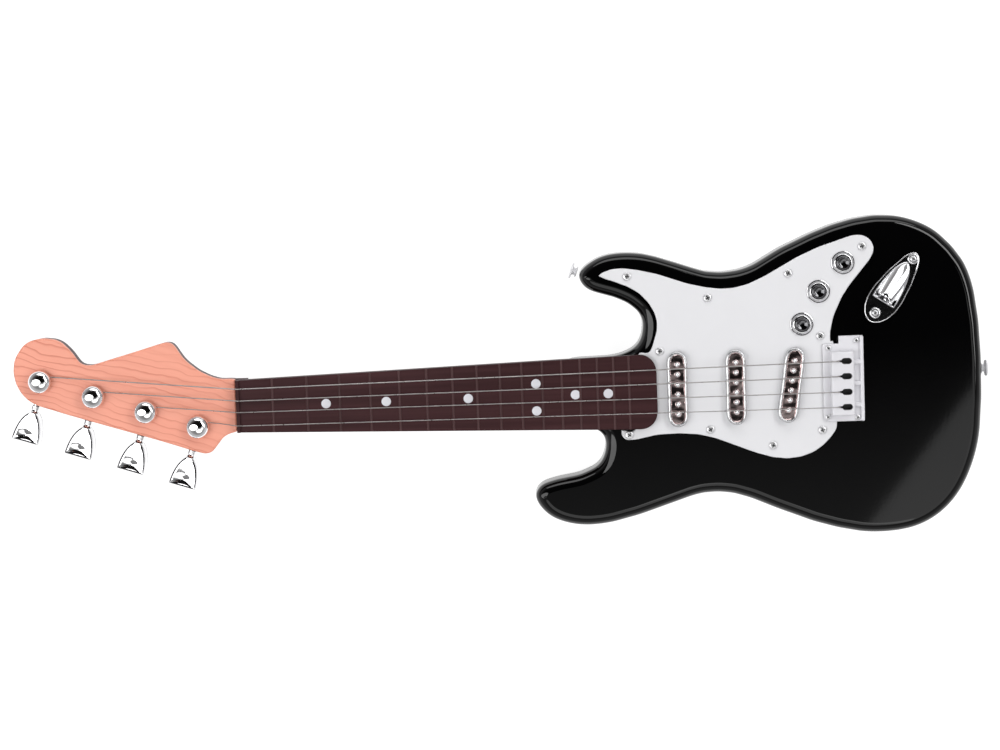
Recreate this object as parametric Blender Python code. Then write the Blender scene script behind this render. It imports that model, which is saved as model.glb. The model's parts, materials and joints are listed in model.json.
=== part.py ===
"""Toy electric guitar, lying on its back: +X runs from the headstock to the tail, +Z out of the face.

The origin is on the flat back of the body, under the neck's centre line. Lengths are in millimetres
and become metres where a mesh is made.
"""

import math

import bmesh
import bpy
from mathutils import Matrix, Vector

MM = 0.001
GAP = 0.3  # clearance between touching pieces
CURVE_ERROR = 0.3

# Heights above the flat back
SEAM = 20.0
FACE = 40.0
GUARD_TOP = 42.0
BOARD_TOP = 47.4
FRET_TOP = 48.1
NUT_TOP = 49.2
NECK_TOP = 42.0
NECK_BOTTOM = 24.0

# Body
WALL = 2.4
SKIN = 2.0
FACE_ROUND = 7.0
BACK_ROUND = 5.0
ROUND_STEPS = 3
BODY_POINTS = [
    (-133.3, 80), (-125, 88.8), (-111, 93.6), (-90, 93), (-65, 85.4), (-47, 79.4), (-31, 78.7),
    (-15.3, 82.8), (4, 93.7), (25, 103), (46.3, 110.2), (68, 113.5), (87, 111.6), (105.6, 103.8),
    (120, 90.8), (130.2, 74.4), (136, 50), (138.4, 14), (137.6, -25.3), (133.4, -51.2),
    (123.2, -75), (108, -91.7), (88.2, -101), (62, -103), (37.6, -98.8), (13.9, -91.2),
    (-8.6, -81.7), (-27.5, -74), (-43.1, -71.4), (-59.3, -73.2), (-89.2, -83), (-115.5, -89.8),
    (-138.3, -90.8), (-157.3, -84.5), (-167.4, -72), (-164, -63), (-153, -59), (-136, -56),
    (-122.5, -48.8), (-118.2, -36), (-121.6, -27.3), (-130, -23.6), (-140, -21.8), (-143, -16),
    (-143, 17.5), (-140, 22.8), (-125.8, 23.4), (-108.5, 24.6), (-95.4, 30.6), (-90.8, 41.8),
    (-92.5, 52), (-101.1, 60.2), (-114.3, 65.8), (-128, 70.4),
]
SHELL_SCREWS = [(-110, 81), (-142, -70), (-28, 62), (-30, -54), (118, 52), (104, -66)]
NECK_SCREWS = [(-112, 0), (-131, 0)]
FRONT_BOSS = 4.2
FRONT_PILOT = 1.3
BACK_BOSS = 5.4
BACK_WELL = 3.8  # radius of the wells that take the heads of the back's screws
BACK_HOLE = 1.8
SCREW_HOLE = 1.5  # under the small screws of the face

# Pickguard
GUARD_POINTS = [
    (-120, 79.3), (-111, 83.6), (-99, 83.4), (-80, 79), (-60, 72), (-42, 68.2), (-28.5, 68.2),
    (-14, 72.4), (3, 81.5), (22, 91), (42, 98), (55, 101), (63, 98), (66, 91), (63, 84),
    (52, 71), (43.5, 59), (37.6, 46), (35.3, 36), (35.2, 29.5), (38, 25), (38.6, -24),
    (36.5, -32.5), (28.5, -41.3), (18, -47.2), (4, -49.3), (-11, -46.6), (-28, -40),
    (-45, -33.4), (-62, -29.8), (-84, -30), (-99, -32.8), (-106, -32), (-107.6, -26),
    (-96, -23), (-96, 23), (-87.5, 26), (-82.6, 38), (-81.6, 47), (-85, 57), (-93.5, 67),
    (-105, 73.4),
]
GUARD_SCREWS = [
    (-101.2, 78.4), (-47.2, 62), (7.6, 76.6), (57.8, 93.2), (28.3, 33.5),
    (-80.5, 27), (-47.6, -27.5), (-5.4, -39.8), (28.3, -30.6), (-102.8, -29.2),
]

# Pickups: centre along the strings, turn from square to the strings
PICKUPS = {"neck": (-69.2, 0), "middle": (-29.6, 0), "bridge": (7.9, -8.5)}
PICKUP_Y = 1.0
PICKUP_LENGTH = 52.0
PICKUP_WIDTH = 13.7
POLE_PITCH = 6.75
POLES = 6

# Sound buttons
BUTTONS = [(44.8, 82.5), (27.9, 63.7), (16.1, 42)]
BEZEL_RADIUS = 7.9
BUTTON_RADIUS = 4.9
SLEEVE_RADIUS = 6.1
SLEEVE_HOLE = SLEEVE_RADIUS + 0.5

# Bridge
BRIDGE_X = (29.5, 57)
BRIDGE_Y = (-25, 28)
BRIDGE_TAB = (40.5, 33.2)
BRIDGE_PLATE_TOP = 44.3
BLOCK_X = (34.5, 50)
BLOCK_Y = (-20.6, 22.9)
BLOCK_TOP = 50.0
RAIL_X = 54.6
RAIL_TOP = 46.5
SLOT_TIP_X = 38.5
SLOT_HALF = 0.95
KEYHOLE_X = 46.3
KEYHOLE_RADIUS = 2.05
BRIDGE_SCREWS = [(33.3, 25.2), (52.2, 29.8), (32, -21.6), (52.1, -22.3)]

# Jack plate, in its own frame: u along its length, v across
JACK_CENTRE = (78.4, 64.8)
JACK_TURN = 53.5
JACK_POINTS = [
    (-28.1, 0), (-25, 6.2), (-17, 10.4), (-6, 11.3), (8, 9.4), (19, 6.6), (25, 4.3), (28.1, 0),
]
JACK_SCREWS = [(-21.2, 0), (23.2, 0)]
SCOOP_BASE_U = -11.3
SCOOP_TIP_U = 18.6
SCOOP_HALF = 7.3
SCOOP_DEPTH = 7.0
SCOOP_WALL = 1.2
SOCKET_HEIGHT = FACE + GAP - 1.9

# Neck, fingerboard and frets
NUT_X = -368.0
BOARD_END = -83.2
BOARD_HALF_NUT = 17.7
BOARD_HALF_END = 25.4
BOARD_CORNER = 11.3
SCALE_LENGTH = 441.0
FRETS = 16
HEEL_X = (-152, -97.5)
HEEL_HALF = 19.0

# Headstock and tuners
HEAD_BOTTOM = 25.0
COVER_BOTTOM = 38.3
HEAD_TOP = 42.0
# Depth inside the headstock's edge and height, for the tray's side and for its hollow
TRAY_SIDE = [
    (4.6, HEAD_BOTTOM), (3, HEAD_BOTTOM + 0.8), (2.4, HEAD_BOTTOM + 2.6), (0.4, COVER_BOTTOM - GAP),
]
TRAY_WELL = [(4.8, HEAD_BOTTOM + 1.7), (2.4, COVER_BOTTOM + 2)]
HEAD_POINTS = [
    (-368.6, 17.9), (-374, 18.3), (-382, 19.3), (-393, 24.6), (-403, 33.3), (-409, 42.6), (-413, 44.8),
    (-420, 43.6), (-443, 37.4), (-459, 32.8), (-467, 31), (-473.4, 32.9), (-479, 41),
    (-487, 48.4), (-498, 50.6), (-509, 47.7), (-516.5, 38.5), (-518.7, 28), (-516, 17),
    (-509.5, 8.6), (-500, 3.6), (-475, -4.7), (-447, -13.7), (-418.5, -22.9), (-394.5, -31),
    (-387.5, -31.5), (-383.3, -27), (-378, -20.8), (-373, -18.4), (-368.6, -17.3), (-368.6, -11.5),
    (-368.6, 0), (-368.6, 12),
]
POSTS = [(-500.5, 21.5), (-465.1, 10), (-430, -1.5), (-395.2, -13)]
KEY_DIRECTION = Vector((-0.3107, -0.9505, 0))  # square to the headstock's lower edge
SHAFT_HEIGHT = 32.3
SHAFT_RADIUS = 1.9
SHAFT_HOLE = 2.6
POST_GEAR = 4.5  # pitch radius of both gears of a tuner
GEAR_TEETH = 8
KEY_START = 22.4
KEY_END = 43.2
KEY_HALF = 9.3
KEY_THICK = 14.0
DOME_RADIUS = 7.85
DOME_BOTTOM = 45.1

# Strings, first to fourth, across the nut and across the bridge
STRING_RADIUS = 0.45
STRING_NUT_Y = [12.1, 4.1, -3.7, -12.8]
STRING_BRIDGE_Y = [16.5, 6.2, -4.4, -14.7]

# Strap buttons: place on the side wall and outward direction in degrees
STRAP_BUTTONS = {"tail": (138.7, 6.3, 0.0), "horn": (-134, 81.6, 160.0)}
STRAP_HEIGHT = 26.4

# Inside and on the back
DOOR_X = (-78, -14)
DOOR_HALF = 23.4
DOOR_SCREW = (DOOR_X[1] - 4.5, 0)
DOOR_TOP = 2.0
BOX_TOP = 19.5
CELL_RADIUS = 7.2
CELL_LENGTH = 50.0
SPEAKER = (60, -45)
SPEAKER_RADIUS = 28.0
GRILLE_RADIUS = 20.0
GRILLE_PITCH = 8.0
SWITCH = (95, 20)
SWITCH_TRAVEL = 4.0


# ---------------------------------------------------------------- points and meshes

def spline(points, steps=3):
    """Points on a closed smooth curve through the given ones, few where it is nearly straight."""
    count = len(points)
    curve = []
    for i in range(count):
        a, b, c, d = (Vector(points[(i + k) % count]) for k in (-1, 0, 1, 2))
        for step in range(steps):
            t = step / steps
            curve.append(
                0.5 * (2 * b + (c - a) * t + (2 * a - 5 * b + 4 * c - d) * t * t
                       + (3 * b - a - 3 * c + d) * t ** 3)
            )
    return counter_clockwise(thinned(curve))


def thinned(curve):
    """The curve without the points that lie within CURVE_ERROR of the line past them."""
    kept = [curve[0]]
    skipped = []
    for here, after in zip(curve[1:], curve[2:] + curve[:1]):
        skipped.append(here)
        run = (after - kept[-1]).normalized()
        off = max(abs(run.cross(point - kept[-1])) for point in skipped)
        if off > CURVE_ERROR:
            kept.append(here)
            skipped = []
    return kept


def counter_clockwise(outline):
    area = sum(a.x * b.y - b.x * a.y for a, b in zip(outline, outline[1:] + outline[:1]))
    return outline if area > 0 else outline[::-1]


def inset(outline, distance):
    """The outline moved inwards, by less where it turns too tightly to take the whole distance."""
    count = len(outline)
    inwards = []
    depths = []
    for i, here in enumerate(outline):
        come = here - outline[i - 1]
        leave = outline[(i + 1) % count] - here
        tangent = (come.normalized() + leave.normalized()).normalized()
        inwards.append(Vector((-tangent.y, tangent.x)))
        turn = -come.angle_signed(leave, 0.0)
        reach = min(come.length, leave.length)
        depths.append(min(distance, 0.8 * reach / turn) if turn > 0.01 else distance)
    for step in (1, -1):
        for k in range(2 * count):
            i = (step * k) % count
            before = (i - step) % count
            run = (outline[i] - outline[before]).length
            depths[i] = min(depths[i], depths[before] + 0.35 * run)
    return [here + inward * depth for here, inward, depth in zip(outline, inwards, depths)]


def stadium(length, width, steps=6):
    """A slot outline along Y with round ends."""
    radius = width / 2
    straight = length / 2 - radius
    outline = []
    for end, start in ((1, 0), (-1, math.pi)):
        for k in range(steps + 1):
            angle = start + math.pi * k / steps
            outline.append(Vector((radius * math.cos(angle), end * straight + radius * math.sin(angle))))
    return outline


def rectangle(x_range, y_range):
    (x0, x1), (y0, y1) = x_range, y_range
    return [Vector((x0, y0)), Vector((x1, y0)), Vector((x1, y1)), Vector((x0, y1))]


def ring(outline, z):
    return [Vector((p[0], p[1], z)) for p in outline]


def mesh_object(name, bm, material=None):
    bmesh.ops.recalc_face_normals(bm, faces=bm.faces)
    mesh = bpy.data.meshes.new(name)
    bm.to_mesh(mesh)
    bm.free()
    mesh.transform(Matrix.Scale(MM, 4))
    mesh.shade_smooth()
    mesh.set_sharp_from_angle(angle=math.radians(32))
    obj = bpy.data.objects.new(name, mesh)
    bpy.context.scene.collection.objects.link(obj)
    if material:
        mesh.materials.append(material)
    return obj


def loft(name, rings, material=None):
    """A closed solid through rings of equal size, with flat caps on the first and the last."""
    bm = bmesh.new()
    rows = [[bm.verts.new(p) for p in row] for row in rings]
    for lower, upper in zip(rows, rows[1:]):
        for i in range(len(lower)):
            j = (i + 1) % len(lower)
            bm.faces.new((lower[i], lower[j], upper[j], upper[i]))
    bm.faces.new(rows[0][::-1])
    bm.faces.new(rows[-1])
    return mesh_object(name, bm, material)


def prism(name, outline, bottom, top, material=None, edge=0.0):
    """An upright solid of one outline, with a chamfer of edge round its top."""
    rings = [ring(outline, bottom), ring(outline, top - edge)]
    if edge:
        rings.append(ring(inset(outline, edge), top))
    return loft(name, rings, material)


def turned(name, profile, segments, material=None):
    """A solid turned about local Z from (radius, height) pairs, first and last on the axis."""
    bm = bmesh.new()
    first = bm.verts.new((0, 0, profile[0][1]))
    last = bm.verts.new((0, 0, profile[-1][1]))
    angles = [2 * math.pi * k / segments for k in range(segments)]
    rows = [[bm.verts.new((r * math.cos(a), r * math.sin(a), z)) for a in angles] for r, z in profile[1:-1]]
    for i in range(segments):
        j = (i + 1) % segments
        bm.faces.new((first, rows[0][i], rows[0][j]))
        bm.faces.new((last, rows[-1][j], rows[-1][i]))
        for upper, lower in zip(rows, rows[1:]):
            bm.faces.new((upper[i], lower[i], lower[j], upper[j]))
    return mesh_object(name, bm, material)


def rod(centre, radius, bottom, top, segments=8):
    """An upright round bar, used as a tool."""
    profile = [(0, top), (radius, top), (radius, bottom), (0, bottom)]
    bar = turned("tool", profile, segments)
    bar.data.transform(Matrix.Translation(Vector((centre[0], centre[1], 0)) * MM))
    return bar


def combine(target, tools, operation):
    """The target with each tool cut away or joined on; the tools are used up."""
    for tool in tools:
        modifier = target.modifiers.new("combine", "BOOLEAN")
        modifier.operation = operation
        modifier.object = tool
        bpy.context.view_layer.update()
        graph = bpy.context.evaluated_depsgraph_get()
        mesh = bpy.data.meshes.new_from_object(target.evaluated_get(graph))
        target.modifiers.remove(modifier)
        target.data = mesh
        bpy.data.objects.remove(tool)
    return target


def cut(target, *tools):
    return combine(target, tools, "DIFFERENCE")


def join(target, *tools):
    return combine(target, tools, "UNION")


def place(obj, position, turn=0.0):
    """Puts the object's own origin at a place in the guitar, turned about Z by degrees."""
    obj.location = Vector(position) * MM
    obj.rotation_euler.z = math.radians(turn)
    return obj


def material(name, colour, roughness, metallic=0.0):
    made = bpy.data.materials.new(name)
    made.use_nodes = True
    shader = made.node_tree.nodes["Principled BSDF"]
    shader.inputs["Base Color"].default_value = (*colour, 1)
    shader.inputs["Roughness"].default_value = roughness
    shader.inputs["Metallic"].default_value = metallic
    return made


# ---------------------------------------------------------------- body

def quarter_rows(outline, radius, edge_height, sign):
    """Rings of a rounded edge, from the side wall to the flat, going up (sign 1) or down (sign -1)."""
    rows = []
    for k in range(ROUND_STEPS + 1):
        angle = math.pi / 2 * k / ROUND_STEPS
        depth = radius * (1 - math.cos(angle))
        height = edge_height + sign * radius * (math.sin(angle) - 1)
        rows.append(ring(inset(outline, depth) if k else outline, height))
    return rows


def body_shell(name, rounding, flat, rim, sign, plastic):
    """Half of the body: an open tray with a rounded outer edge."""
    outline = spline(BODY_POINTS)
    outer = quarter_rows(outline, rounding, flat, sign)
    inner_wall = inset(outline, WALL)
    inner_flat = inset(outline, rounding + 1.5)
    rings = outer[::-1] + [
        ring(outline, rim),
        ring(inner_wall, rim),
        ring(inner_wall, flat - sign * rounding),
        ring(inner_flat, flat - sign * SKIN),
    ]
    return loft(name, rings, plastic)


def jack_matrix():
    turn = Matrix.Rotation(math.radians(JACK_TURN), 4, "Z")
    return Matrix.Translation(Vector((*JACK_CENTRE, 0)) * MM) @ turn


def jack_block(grow, bottom, top):
    """The deep part of the jack plate, used as a solid and, grown, as its opening in the face."""
    half = SCOOP_HALF + SCOOP_WALL + grow
    outline = rectangle((SCOOP_BASE_U - 7 - grow, SCOOP_TIP_U - 4 + grow), (-half, half))
    block = prism("tool", outline, bottom, top)
    block.data.transform(jack_matrix())
    return block


def in_plan(points, matrix):
    return [tuple((matrix @ (Vector((u, v, 0)) * MM) / MM).xy) for u, v in points]


def body_front_shell(plastic):
    shell = body_shell("body_front_shell", FACE_ROUND, FACE, SEAM + GAP / 2, 1, plastic)
    join(shell, *[rod(p, FRONT_BOSS, SEAM + 0.6, FACE - 1, 10) for p in SHELL_SCREWS])
    sides = (-HEEL_HALF - GAP, HEEL_HALF + GAP)
    pocket = prism("tool", rectangle((-180, HEEL_X[1] + GAP), sides), SEAM - 2, FACE + 5)
    cut(shell, pocket, jack_block(GAP, SEAM + 5, FACE + 5))
    small = GUARD_SCREWS + BRIDGE_SCREWS + in_plan(JACK_SCREWS, jack_matrix())
    cut(shell, *[rod(p, SCREW_HOLE, FACE - 6, FACE + 2, 6) for p in small])
    cut(shell, *[rod(p, SLEEVE_HOLE, FACE - 6, FACE + 2, 14) for p in BUTTONS])
    return cut(shell, *[rod(p, FRONT_PILOT, SEAM - 2, FACE - 8) for p in SHELL_SCREWS])


def body_back_shell(plastic):
    shell = body_shell("body_back_shell", BACK_ROUND, 0, SEAM - GAP / 2, -1, plastic)
    rim = SEAM - GAP / 2 - 0.2
    screws = SHELL_SCREWS + NECK_SCREWS
    join(shell, *[rod(p, BACK_BOSS, 1, rim, 10) for p in screws])
    cut(shell, *[rod(p, BACK_WELL, -1, 10, 12) for p in screws])
    cut(shell, *[rod(p, BACK_HOLE, 9, SEAM + 2) for p in screws])
    door = prism("tool", rectangle(DOOR_X, (-DOOR_HALF, DOOR_HALF)), -1, 5)
    x, y = SWITCH
    slot = prism("tool", rectangle((x - 3, x + 3 + SWITCH_TRAVEL), (y - 2.6, y + 2.6)), -1, 5)
    cut(shell, door, slot)
    for k in range(-2, 3):
        off = k * GRILLE_PITCH
        half = math.sqrt(GRILLE_RADIUS ** 2 - off ** 2)
        x, y = SPEAKER[0] + off, SPEAKER[1]
        cut(shell, prism("tool", rectangle((x - 1.8, x + 1.8), (y - half, y + half)), -1, 5))
    return shell


# ---------------------------------------------------------------- face of the body

def pickguard(plastic):
    guard = prism("pickguard", spline(GUARD_POINTS), FACE + GAP, GUARD_TOP, plastic, 0.5)
    through = GUARD_SCREWS + [p for p in BRIDGE_SCREWS if p[0] < BRIDGE_TAB[0]]
    cut(guard, *[rod(p, SCREW_HOLE, FACE - 1, GUARD_TOP + 1, 6) for p in through])
    return cut(guard, *[rod(p, SLEEVE_HOLE, FACE - 1, GUARD_TOP + 1, 14) for p in BUTTONS])


def screw(name, centre, seat, head_radius, length, metal):
    """A domed screw whose head stands on a surface at height seat."""
    profile = [
        (0, 1.25), (head_radius * 0.7, 0.95), (head_radius, 0.3), (head_radius, GAP - 0.25),
        (1.15, GAP - 0.25), (1.15, -length), (0, -length - 0.8),
    ]
    return place(turned(name, profile, 7, metal), (*centre, seat + 0.25))


def pickup(name, centre_x, turn, chrome):
    """A rimmed oval tray with a row of round pole pieces."""
    outline = stadium(PICKUP_LENGTH, PICKUP_WIDTH)
    base = GUARD_TOP + GAP
    rings = [
        ring(outline, base), ring(outline, base + 4.2), ring(inset(outline, 0.6), base + 4.9),
        ring(inset(outline, 1.3), base + 4.9), ring(inset(outline, 1.7), base + 3.4),
    ]
    tray = loft(name, rings, chrome)
    for k in range(POLES):
        y = (k - (POLES - 1) / 2) * POLE_PITCH
        profile = [(0, base + 6.1), (1.5, base + 5.6), (2.5, base + 4.4), (2.5, base + 2), (0, base + 2)]
        pole = turned("tool", profile, 6)
        pole.data.transform(Matrix.Translation(Vector((0, y, 0)) * MM))
        join(tray, pole)
    return place(tray, (centre_x, PICKUP_Y, 0), turn)


def button_bezel(name, centre, chrome):
    base = GUARD_TOP + GAP
    inner = BUTTON_RADIUS + GAP
    rings = [
        (SLEEVE_RADIUS, FACE - 4), (SLEEVE_RADIUS, base), (BEZEL_RADIUS, base), (BEZEL_RADIUS, base + 0.8),
        (BEZEL_RADIUS - 0.9, base + 2), (inner + 0.5, base + 2.2), (inner, base + 1.6), (inner, FACE - 4),
    ]
    bm = bmesh.new()
    segments = 16
    rows = []
    for radius, height in rings:
        angles = [2 * math.pi * k / segments for k in range(segments)]
        rows.append([bm.verts.new((radius * math.cos(a), radius * math.sin(a), height)) for a in angles])
    for lower, upper in zip(rows, rows[1:] + rows[:1]):
        for i in range(segments):
            j = (i + 1) % segments
            bm.faces.new((lower[i], lower[j], upper[j], upper[i]))
    return place(mesh_object(name, bm, chrome), (*centre, 0))


def sound_button(name, centre, chrome):
    """A domed cap on a stem, with a stop flange under the bezel's sleeve; its origin is on its axis."""
    top = GUARD_TOP + GAP + 3.6
    stop = FACE - 4 - GAP
    profile = [
        (0, top), (2.6, top - 0.25), (4.3, top - 0.9), (BUTTON_RADIUS, top - 1.8), (BUTTON_RADIUS, stop),
        (SLEEVE_RADIUS, stop), (SLEEVE_RADIUS, stop - 1.2), (2, stop - 1.2), (2, stop - 2.4), (0, stop - 2.4),
    ]
    return place(turned(name, profile, 16, chrome), (*centre, 0))


def bridge(plastic):
    (x0, x1), (y0, y1) = BRIDGE_X, BRIDGE_Y
    corner = [Vector((x0 + 4 - 4 * math.cos(a), y0 + 4 - 4 * math.sin(a))) for a in (0, 0.52, 1.05, 1.57)]
    outline = corner + [
        Vector((x1, y0)), Vector((x1, BRIDGE_TAB[1])), Vector((BRIDGE_TAB[0], BRIDGE_TAB[1])),
        Vector((BRIDGE_TAB[0], y1)), Vector((x0, y1)),
    ]
    plate = prism("bridge", outline, GUARD_TOP + GAP, BRIDGE_PLATE_TOP, plastic)
    sides = (y0 + 0.2, BRIDGE_TAB[1] - 0.2)
    foot = prism("tool", rectangle((41, x1 - 0.2), sides), FACE + GAP, GUARD_TOP + 1)
    block = prism("tool", rectangle(BLOCK_X, BLOCK_Y), GUARD_TOP + 1.6, BLOCK_TOP, None, 0.6)
    rail = prism("tool", rectangle((RAIL_X, x1 - 0.2), sides), GUARD_TOP + 1.3, RAIL_TOP)
    join(plate, foot, block, rail)
    for y in STRING_BRIDGE_Y:
        low, high = y - SLOT_HALF, y + SLOT_HALF
        tip = [
            Vector((SLOT_TIP_X, y)), Vector((SLOT_TIP_X + 2, low)), Vector((KEYHOLE_X, low)),
            Vector((KEYHOLE_X, high)), Vector((SLOT_TIP_X + 2, high)),
        ]
        cut(plate, prism("tool", tip, BRIDGE_PLATE_TOP + 0.5, BLOCK_TOP + 2))
        cut(plate, rod((KEYHOLE_X, y), KEYHOLE_RADIUS, BRIDGE_PLATE_TOP + 0.2, BLOCK_TOP + 2, 10))
    return cut(plate, *[rod(p, SCREW_HOLE, FACE - 2, BRIDGE_PLATE_TOP + 1, 6) for p in BRIDGE_SCREWS])


def jack_outline():
    far_side = [(u, -v) for u, v in JACK_POINTS[-2:0:-1]]
    return spline(JACK_POINTS + far_side)


def jack_plate(chrome):
    """A boat-shaped plate with a scoop that slopes down to the socket's wall."""
    outline = jack_outline()
    base = FACE + GAP
    rings = [
        ring(outline, base), ring(outline, base + 1.9), ring(inset(outline, 0.9), base + 2.6),
        ring(inset(outline, 2), base + 1.7),
    ]
    plate = loft("jack_plate", rings, chrome)
    plate.data.transform(jack_matrix())
    join(plate, jack_block(0, FACE - 9.4, FACE + 1.2))
    bm = bmesh.new()
    deep = base + 1.7 - SCOOP_DEPTH
    high = base + 4
    corners = [
        (SCOOP_BASE_U, -SCOOP_HALF, high), (SCOOP_TIP_U, 0, high), (SCOOP_BASE_U, SCOOP_HALF, high),
        (SCOOP_BASE_U, 1 - SCOOP_HALF, deep), (SCOOP_TIP_U - 3, 0, base + 1.2),
        (SCOOP_BASE_U, SCOOP_HALF - 1, deep),
    ]
    a, b, c, d, e, f = (bm.verts.new(p) for p in corners)
    for face in ((a, b, c), (d, f, e), (a, d, e, b), (b, e, f, c), (c, f, d, a)):
        bm.faces.new(face)
    bmesh.ops.triangulate(bm, faces=bm.faces)
    scoop = mesh_object("tool", bm)
    scoop.data.transform(jack_matrix())
    bore = turned("tool", [(0, 12), (2.9, 12), (2.9, -12), (0, -12)], 12)
    lie = Matrix.Translation(Vector((SCOOP_BASE_U, 0, SOCKET_HEIGHT)) * MM)
    bore.data.transform(jack_matrix() @ lie @ Matrix.Rotation(math.pi / 2, 4, "Y"))
    cut(plate, scoop, bore)
    screws = in_plan(JACK_SCREWS, jack_matrix())
    return cut(plate, *[rod(p, SCREW_HOLE, FACE - 2, FACE + 5, 6) for p in screws])


def jack_socket(metal):
    """A tube in the wall at the foot of the scoop; its blind bore faces along the scoop."""
    profile = [(0, -2.4), (2.6, -2.4), (2.6, 3.9), (1.8, 3.9), (1.8, -1.2), (0, -1.2)]
    socket = turned("jack_socket", profile, 12, metal)
    lie = Matrix.Translation(Vector((SCOOP_BASE_U - 4.2, 0, SOCKET_HEIGHT)) * MM)
    socket.data.transform(jack_matrix() @ lie @ Matrix.Rotation(math.pi / 2, 4, "Y"))
    return socket


# ---------------------------------------------------------------- neck and headstock

def board_half(x):
    """Half the fingerboard's width at x."""
    share = (x - NUT_X) / (BOARD_END - 10 - NUT_X)
    half = BOARD_HALF_NUT + (BOARD_HALF_END - BOARD_HALF_NUT) * min(share, 1)
    into_corner = x - (BOARD_END - BOARD_CORNER)
    if into_corner > 0:
        half += math.sqrt(max(0, BOARD_CORNER ** 2 - into_corner ** 2)) - BOARD_CORNER
    return half


def fingerboard(plastic):
    """A tapering board with its frets and its nut standing up in one piece."""
    stations = [(NUT_X, NUT_TOP), (NUT_X + 2.2, NUT_TOP), (NUT_X + 2.6, BOARD_TOP)]
    for fret in range(1, FRETS + 1):
        x = NUT_X + SCALE_LENGTH * (1 - 2 ** (-fret / 12))
        stations += [(x - 0.9, BOARD_TOP), (x - 0.4, FRET_TOP), (x + 0.4, FRET_TOP), (x + 0.9, BOARD_TOP)]
    last = BOARD_END - BOARD_CORNER
    stations += [(last + BOARD_CORNER * math.sin(math.radians(a)), BOARD_TOP) for a in (10, 30, 50, 70, 90)]
    rings = []
    for x, top in stations:
        half = board_half(x)
        rings.append([Vector(p) for p in (
            (x, -half, NECK_TOP + GAP), (x, half, NECK_TOP + GAP), (x, half, top - 0.6),
            (x, half - 0.6, top), (x, 0.6 - half, top), (x, -half, top - 0.6),
        )])
    return loft("fingerboard", rings, plastic)


def neck_section(x, thinner, top):
    """The neck's rounded cross-section at x, made smaller by thinner."""
    half = board_half(x) - thinner
    shoulder = 35.0
    points = [Vector((x, -half, top))]
    for k in range(9):
        angle = math.pi * k / 8
        z = shoulder - (shoulder - NECK_BOTTOM - thinner) * math.sin(angle)
        points.append(Vector((x, -half * math.cos(angle), z)))
    points.append(Vector((x, half, top)))
    return points


def head_outline():
    """The headstock's edge, cut straight beside the nut."""
    return [Vector((min(p.x, NUT_X - 0.6), p.y)) for p in spline(HEAD_POINTS)]


def neck(plastic):
    """Neck back, heel and the tray behind the headstock, in one moulding."""
    bar = loft("neck", [neck_section(x, 0, NECK_TOP) for x in (-367.8, -143.6)], plastic)
    heel = prism("tool", rectangle(HEEL_X, (-HEEL_HALF, HEEL_HALF)), SEAM + 0.7, NECK_TOP - 0.2)
    outline = head_outline()
    tail = [Vector((p.x + 8 if p.x > NUT_X - 3 else p.x, p.y)) for p in outline]
    tray = loft("tool", [ring(inset(tail, depth), height) for depth, height in TRAY_SIDE])
    join(bar, heel, tray)
    hollow = loft("tool", [neck_section(x, 2.6, NECK_TOP + 2) for x in (-354, -158)])
    heel_hollow = prism("tool", rectangle((-140, -104), (-14, 14)), 31, NECK_TOP + 2)
    tuner_well = loft("tool", [ring(inset(outline, depth), height) for depth, height in TRAY_WELL])
    cut(tuner_well, prism("tool", rectangle((-380, -350), (-40, 40)), HEAD_BOTTOM, COVER_BOTTOM + 4))
    cut(bar, hollow, heel_hollow, tuner_well)
    cut(bar, *[rod(p, 1.7, SEAM - 2, 29) for p in NECK_SCREWS])
    for post in POSTS:
        hole = turned("tool", [(0, 26), (SHAFT_HOLE, 26), (SHAFT_HOLE, 9), (0, 9)], 12)
        hole.data.transform(shaft_matrix(post))
        cut(bar, hole)
    return bar


def headstock_cover(wood):
    cover = prism("headstock_cover", head_outline(), COVER_BOTTOM, HEAD_TOP, wood, 0.8)
    return cut(cover, *[rod(p, 2.5, COVER_BOTTOM - 1, HEAD_TOP + 1, 12) for p in POSTS])


def shaft_matrix(post):
    """Local Z of a tuner key's parts along its shaft, away from the post, from the post's axis."""
    across = Vector((0, 0, 1)).cross(KEY_DIRECTION)
    turn = Matrix((across, Vector((0, 0, 1)), KEY_DIRECTION)).transposed().to_4x4()
    return Matrix.Translation(Vector((*post, SHAFT_HEIGHT)) * MM) @ turn


def bevel_gear(gap_on_x):
    """A 45-degree gear whose apex is the local origin and whose axis is local Z."""
    pitch = 2 * math.pi / GEAR_TEETH
    profile = [(-0.29, -1.0), (-0.14, 0.75), (0.14, 0.75), (0.29, -1.0)]
    rows = []
    for scale in (0.66, 1.06):
        row = []
        for tooth in range(GEAR_TEETH):
            for share, height in profile:
                angle = pitch * (tooth + share + (0.5 if gap_on_x else 0))
                radius = scale * (POST_GEAR + height * math.sqrt(0.5))
                axial = scale * (POST_GEAR - height * math.sqrt(0.5))
                row.append(Vector((radius * math.cos(angle), radius * math.sin(angle), axial)))
        rows.append(row)
    bm = bmesh.new()
    inner, outer = [[bm.verts.new(p) for p in row] for row in rows]
    near = bm.verts.new((0, 0, 0.75 * POST_GEAR))
    far = bm.verts.new((0, 0, 1.2 * POST_GEAR))
    for i in range(len(inner)):
        j = (i + 1) % len(inner)
        bm.faces.new((inner[i], inner[j], outer[j], outer[i]))
        bm.faces.new((near, inner[j], inner[i]))
        bm.faces.new((far, outer[i], outer[j]))
    return mesh_object("tool", bm)


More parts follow.
